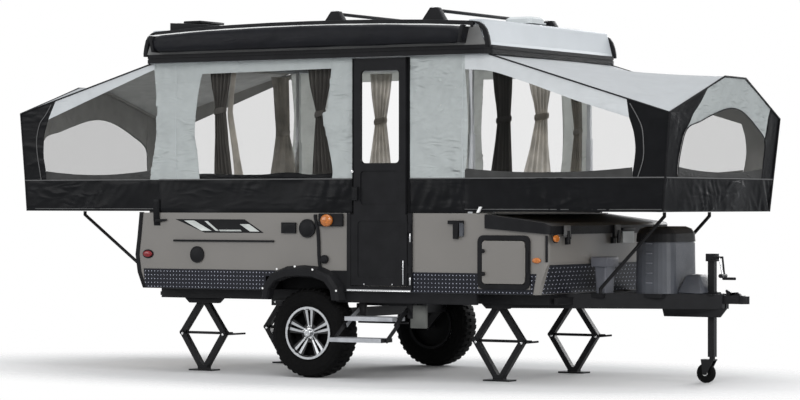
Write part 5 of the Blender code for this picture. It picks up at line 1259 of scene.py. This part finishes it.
for word, x in (("rear", 0.180), ("front", 1.080)):
    bar = block(f"cross_bar_{word}", (x - 0.024, x + 0.024), (-0.945, 0.945), (2.848, 2.872), "black",
                face=UP, rings=((0.010, -0.002),), edge=0.008, steps=3)
    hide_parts(f"roof_bar_{word}")
    for hand, side in ((-1, "right"), (1, "left")):
        block(f"bar_foot_{word}_{side}", (x - 0.115, x + 0.125), sorted((hand * 0.985, hand * 0.900)),
              (2.745, 2.878), "black", face=(0, hand, 0), rings=((0.014, -0.004), (0.006, 0.003)), edge=0.006,
              steps=3, moves=((UP, (0.008, 0, 0), (0.28, 0.75, 1)),))
        rod(f"bar_end_{word}_{side}", (x - 0.022, hand * 0.952, 2.879), (x + 0.042, hand * 0.952, 2.879),
            0.004, "bright", edge=0.0008)
block("rear_vent", (-1.375, -1.020), (-0.985, -0.520), (2.755, 2.836), "black", face=UP,
      rings=((0.020, -0.004), (0.030, 0.006)), edge=0.006, moves=((AHEAD, (0, 0, -0.010), (1, 1, 0.7)),))
block("rear_vent_lid", (-1.300, -1.130), (-0.900, -0.560), (2.832, 2.850), "black", face=UP,
      rings=((0.016, 0.003),), edge=0.004)

# Running gear: black pockets in the rims, hub caps, lug nuts and brake drums
LUG_NUTS = 5
LUG_CIRCLE = 0.048    # radius of the circle that the nuts stand on
for hand, side in ((-1, "right"), (1, "left")):
    rim = NODES[f"rim_{side}"]
    rim.data.materials.append(MATERIALS["pocket"])
    reach = max(abs(v.co.y - ROW_Y) for v in rim.data.vertices)
    for face in rim.data.polygons:
        away = math.hypot(face.center.x - ROW_X, face.center.z - WHEEL_Z)
        shown = face.normal.y * hand > 0.55 and abs(face.center.y - ROW_Y) > reach - 0.034
        face.material_index = 0 if shown or (away > 0.196 and face.normal.y * hand > -0.2) else 1
    body = f"wheel_{side}"
    knob(f"brake_drum_{side}", (0, hand * 0.905, WHEEL_Z), (0.183, 0.183), 0.050, "pocket", body=body,
         face=(0, hand, 0), rings=((0.020, -0.006), (0.060, 0.010), (0.030, 0.006)), sides=40, edge=0.003)
    knob(f"hub_cap_{side}", (0, hand * 1.040, WHEEL_Z), (0.030, 0.030), 0.026, "alloy", body=body,
         face=(0, hand, 0), rings=((0.005, 0.003), (0.006, 0.002), (0.006, -0.001)), sides=28, edge=0.002)
    nut = knob(f"lug_nut_{side}_1", (0, hand * 1.036, WHEEL_Z + LUG_CIRCLE), (0.0085, 0.0085), 0.016,
               "bright", body=body, face=(0, hand, 0), rings=((0.002, 0.003), (0.002, 0.001)), sides=6,
               edge=0.0006)
    for k in range(1, LUG_NUTS):
        turn = math.tau * k / LUG_NUTS
        again(nut, f"lug_nut_{side}_{k + 1}",
              (LUG_CIRCLE * math.sin(turn), 0, LUG_CIRCLE * (math.cos(turn) - 1)))
    valve = math.radians(24)
    rod(f"tyre_valve_{side}", (0.172 * math.sin(valve), hand * 1.010, WHEEL_Z + 0.172 * math.cos(valve)),
        (0.166 * math.sin(valve), hand * 1.046, WHEEL_Z + 0.166 * math.cos(valve)), 0.004, "black",
        body=body)
    # the tub is black inside its wheel wells
    tub = NODES["tub"]
    if hand < 0:
        tub.data.materials.append(MATERIALS["black"])
    for face in tub.data.polygons:
        x, y, z = face.center.x - ROW_X, (face.center.y - ROW_Y) * hand, face.center.z
        if -0.42 < x < 0.33 and 0.75 < y < 1.0299 and z < 0.86:
            face.material_index = 1

# Tongue
rod("crank_arm", (3.066, -0.040, 0.962), (3.098, -0.040, 0.806), 0.006, "bright", edge=0.001)
rod("crank_grip", (3.096, -0.040, 0.800), (3.200, -0.040, 0.800), 0.011, "black", edge=0.002)
rod("crank_shaft", (3.000, -0.040, 0.950), (3.070, -0.040, 0.958), 0.008, "steel", edge=0.001)
for hand, side in ((-1, "right"), (1, "left")):
    knob(f"caster_hub_{side}", (2.940, hand * 0.0235, 0.076), (0.022, 0.022), 0.004, "white",
         body="caster_roller", face=(0, hand, 0), rings=((0.006, -0.001), (0.006, 0.002)), sides=20,
         edge=0.001)
block("tongue_channel", (2.600, 3.140), (-0.075, -0.045), (0.505, 0.575), "steel", rings=((0.010, -0.004),),
      moves=(((0, 0, -1), (-0.020, 0, 0), (0.86, 1, 1)),))
block("coupler_latch", (3.140, 3.205), (-0.012, 0.012), (0.668, 0.690), "black", face=UP,
      rings=((0.004, 0.002),), moves=((AHEAD, (0, 0, 0.010), (1, 1, 0.6)),), edge=0.002)
dome = block("tongue_dome", (2.760, 2.975), (-0.150, 0.150), (0.684, 0.822), "charcoal", face=UP, edge=0.018,
             steps=4, moves=((UP, (0, 0, 0), (0.56, 0.62, 1)),), rings=((0.014, 0.006),))
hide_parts("tongue_cover")
block("battery_lid", (2.130, 2.270), (-0.350, -0.150), (0.884, 0.957), "box grey", face=UP,
      rings=((0.018, 0.006), (0.010, -0.003)), edge=0.006, steps=3)
for k in range(5):
    z = 0.760 + 0.075 * k
    block(f"gas_rib_{k + 1}", (2.568, 2.622), (-0.294, -0.287), (z, z + 0.010), "box grey",
          rings=((0.003, 0.001),), edge=0.002)
cover = NODES["gas_cover"]
cover.data.materials.append(MATERIALS["black"])
for face in cover.data.polygons:
    if face.center.z > 1.085:
        face.material_index = 1

# Jacks: their screws' long ends and the pins of their joints
for hand, side in ((-1, "right"), (1, "left")):
    rod(f"rear_jack_screw_{side}", (-1.060, hand * 0.625, 0.300), (-0.880, hand * 0.625, 0.312), 0.008,
        "steel", edge=0.001)
    rod(f"front_jack_screw_{side}", (1.700, hand * 0.625, 0.300), (1.820, hand * 0.625, 0.312), 0.008,
        "steel", edge=0.001)
    for word, middle in (("rear", -1.2585), ("front", 1.5065)):
        pin = knob(f"{word}_jack_pin_{side}_1", (middle - 0.200, -0.686 if hand < 0 else 0.564, 0.300),
                   (0.010, 0.010), 0.005, "bright", rings=((0.003, 0.001),), sides=12, edge=0.001)
        again(pin, f"{word}_jack_pin_{side}_2", (0.400, 0, 0))

# Trims of the tub
block("side_sill", (0.200, 1.500), (-1.026, -0.990), (0.598, 0.6825), "black", rings=((0.014, -0.003),))
# painted light: the trunk lid's upward faces get a lighter grey than the black lid, to lift them out of the
# shade under the bed deck
lid = NODES["trunk_lid"]
lid.data.materials.append(MATERIALS["lid top painted light"])
for face in lid.data.polygons:
    if face.normal.z > 0.7:
        face.material_index = 1
for i, x in enumerate((-1.285, 1.380)):
    seam = [(x + 0.004 * math.sin(z * 9), OUT_Y + 0.0005, z) for z in np.linspace(1.566, 2.49, 12)]
    pipe(f"pillar_seam_{i + 1}", seam, 0.0022, "pale", "trailer")
block("sill_panel_rear", (0.205, 0.353), (-1.040, -1.0335), (0.684, 0.846), "black", rings=((0.008, -0.002),),
      edge=0.002)
strip("rear_edge_trim", (-1.643, -1.606), (-1.036, -1.014), (1.285, 1.300),
      ((-0.022, 0, -0.200), (-0.018, 0, -0.130), (0.022, 0, -0.145), (0.052, 0, -0.125)), "black", edge=0.003)
block("front_edge_trim", (2.096, 2.112), (-1.034, -1.016), (0.930, 1.130), "black", rings=((0.003, 0.001),),
      edge=0.003)
rod("step_rear_link", (0.392, -0.930, 0.445), (0.840, -0.930, 0.445), 0.008, "steel", edge=0.001)
for word, low, high in (("upper", 0.396, 0.834), ("lower", 0.384, 0.846)):
    tray = NODES[f"step_{word}"]
    tray.data.materials.append(MATERIALS["steel"])
    for face in tray.data.polygons:
        x = face.center.x - ROW_X
        if x < low + 0.002 or x > high - 0.002:
            face.material_index = 1

# Soft pieces: the awning in its bag and the two mattresses
def bag(name, x, y_mid, z_low, z_high, depth, finish, body, rise=RISE, steps=150, around=30, seed=4.0):
    """Rolled awning in its cover: an oval tube with creases, drawn in at its ends."""
    bm = bmesh.new()
    rings = []
    for i in range(steps + 1):
        t = i / steps
        lift = float(np.interp(t, np.linspace(0, 1, len(rise) + 1), np.concatenate(([0], np.cumsum(rise)))))
        pull = min(1.0, 0.62 + 6.5 * min(t, 1 - t) ** 0.8)
        low, high = z_low, z_high + lift
        ring = []
        for k in range(around):
            a = math.tau * k / around
            round_y = math.copysign(abs(math.sin(a)) ** 0.75, math.sin(a))
            round_z = math.copysign(abs(math.cos(a)) ** 0.75, math.cos(a))
            crease = noise.noise(Vector((t * 9.0, a * 1.6, seed))) * 0.0035
            fine = max(0.0, noise.noise(Vector((t * 26.0, a * 3.1 + t * 9, seed + 3)))) * 0.0050
            y = y_mid + round_y * (depth / 2 * pull + crease + fine)
            z = (low + high) / 2 + round_z * ((high - low) / 2 * pull + crease)
            ring.append(bm.verts.new((x[0] + (x[1] - x[0]) * t, y, z)))
        rings.append(ring)
    for a, b in zip(rings, rings[1:]):
        for k in range(around):
            bm.faces.new((a[k], b[k], b[(k + 1) % around], a[(k + 1) % around]))
    for ring, way in ((rings[0], -1), (rings[-1], 1)):
        tip = bm.verts.new(sum((v.co for v in ring), Vector()) / around + Vector((way * 0.004, 0, 0)))
        for k in range(around):
            bm.faces.new((ring[k], ring[(k + 1) % around], tip))
    bmesh.ops.recalc_face_normals(bm, faces=bm.faces[:])
    mesh = bpy.data.meshes.new(name)
    bm.to_mesh(mesh)
    bm.free()
    made = keep_mesh(name, mesh, (finish,), body, smooth=60)
    return made


cover = bag("awning_cover", (-1.440, 1.448), -1.124, 2.590, 2.722, 0.098, "awning", "trailer")
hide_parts("awning_bag")


def mattress(name, x, half, z, body, node, cap=0.012, cell=0.022):
    """Filled mattress: a block blown up like a cushion within a cap, then piped along its edges."""
    bm = bmesh.new()
    bmesh.ops.create_cube(bm, size=1)
    low, high = Vector((x[0] + cap, -half + cap, z[0] + 0.002)), Vector((x[1] - cap, half - cap, z[1] - cap))
    for v in bm.verts:
        v.co = Vector([low[i] + (high[i] - low[i]) * (v.co[i] + 0.5) for i in range(3)])
    mesh = bpy.data.meshes.new(name)
    bm.to_mesh(mesh)
    bm.free()
    made = bpy.data.objects.new(name, mesh)
    bpy.context.scene.collection.objects.link(made)
    remesh = made.modifiers.new("grid", "REMESH")
    remesh.mode = "VOXEL"
    remesh.voxel_size = cell
    bpy.ops.object.select_all(action="DESELECT")
    made.select_set(True)
    bpy.context.view_layer.objects.active = made
    bpy.ops.object.modifier_apply(modifier="grid")
    start = np.empty(len(made.data.vertices) * 3)
    made.data.vertices.foreach_get("co", start)
    cloth = made.modifiers.new("fill", "CLOTH")
    cloth.settings.use_pressure = True
    cloth.settings.uniform_pressure_force = 4.0
    cloth.settings.effector_weights.gravity = 0.0
    cloth.point_cache.frame_start = 1
    cloth.point_cache.frame_end = 20
    for step in range(1, 21):
        bpy.context.scene.frame_set(step)
    bpy.ops.object.modifier_apply(modifier="fill")
    bpy.context.scene.frame_set(1)
    end = np.empty(len(made.data.vertices) * 3)
    made.data.vertices.foreach_get("co", end)
    move = (end - start).reshape(-1, 3)
    length = np.linalg.norm(move, axis=1)
    move *= (np.minimum(length, cap) / np.maximum(length, 1e-9))[:, None]
    spots = start.reshape(-1, 3) + move
    spots[:, 2] = np.maximum(spots[:, 2], z[0] + 0.001)
    made.data.vertices.foreach_set("co", spots.reshape(-1))
    smooth = made.modifiers.new("round", "SUBSURF")
    smooth.levels = smooth.render_levels = 1
    bpy.ops.object.modifier_apply(modifier="round")
    made.data.transform(ROW)
    made.data.materials.append(MATERIALS["foam"])
    made.data.polygons.foreach_set("use_smooth", [True] * len(made.data.polygons))
    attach(made, body)
    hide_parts(node)
    for word, level in (("top", z[1] - cap), ("foot", z[0] + 0.010)):
        edge = [(x[0] + 0.006, -half + 0.006), (x[1] - 0.006, -half + 0.006), (x[1] - 0.006, half - 0.006),
                (x[0] + 0.006, half - 0.006), (x[0] + 0.006, -half + 0.006)]
        pipe(f"{name}_piping_{word}", [(px, py, level) for px, py in edge], 0.004, "seam", body)


mattress("mattress_pad_front", (1.532, 2.963), 0.888, (1.371, 1.449), "front_bed", "mattress_front")
mattress("mattress_pad_rear", (-2.769, -1.547), 0.888, (1.371, 1.449), "rear_bed", "mattress_rear")
seat = NODES["dinette"]
seat.data.materials.append(MATERIALS["bench cloth"])
for face in seat.data.polygons:
    if 1.021 < face.center.z < 1.102:
        face.material_index = 1
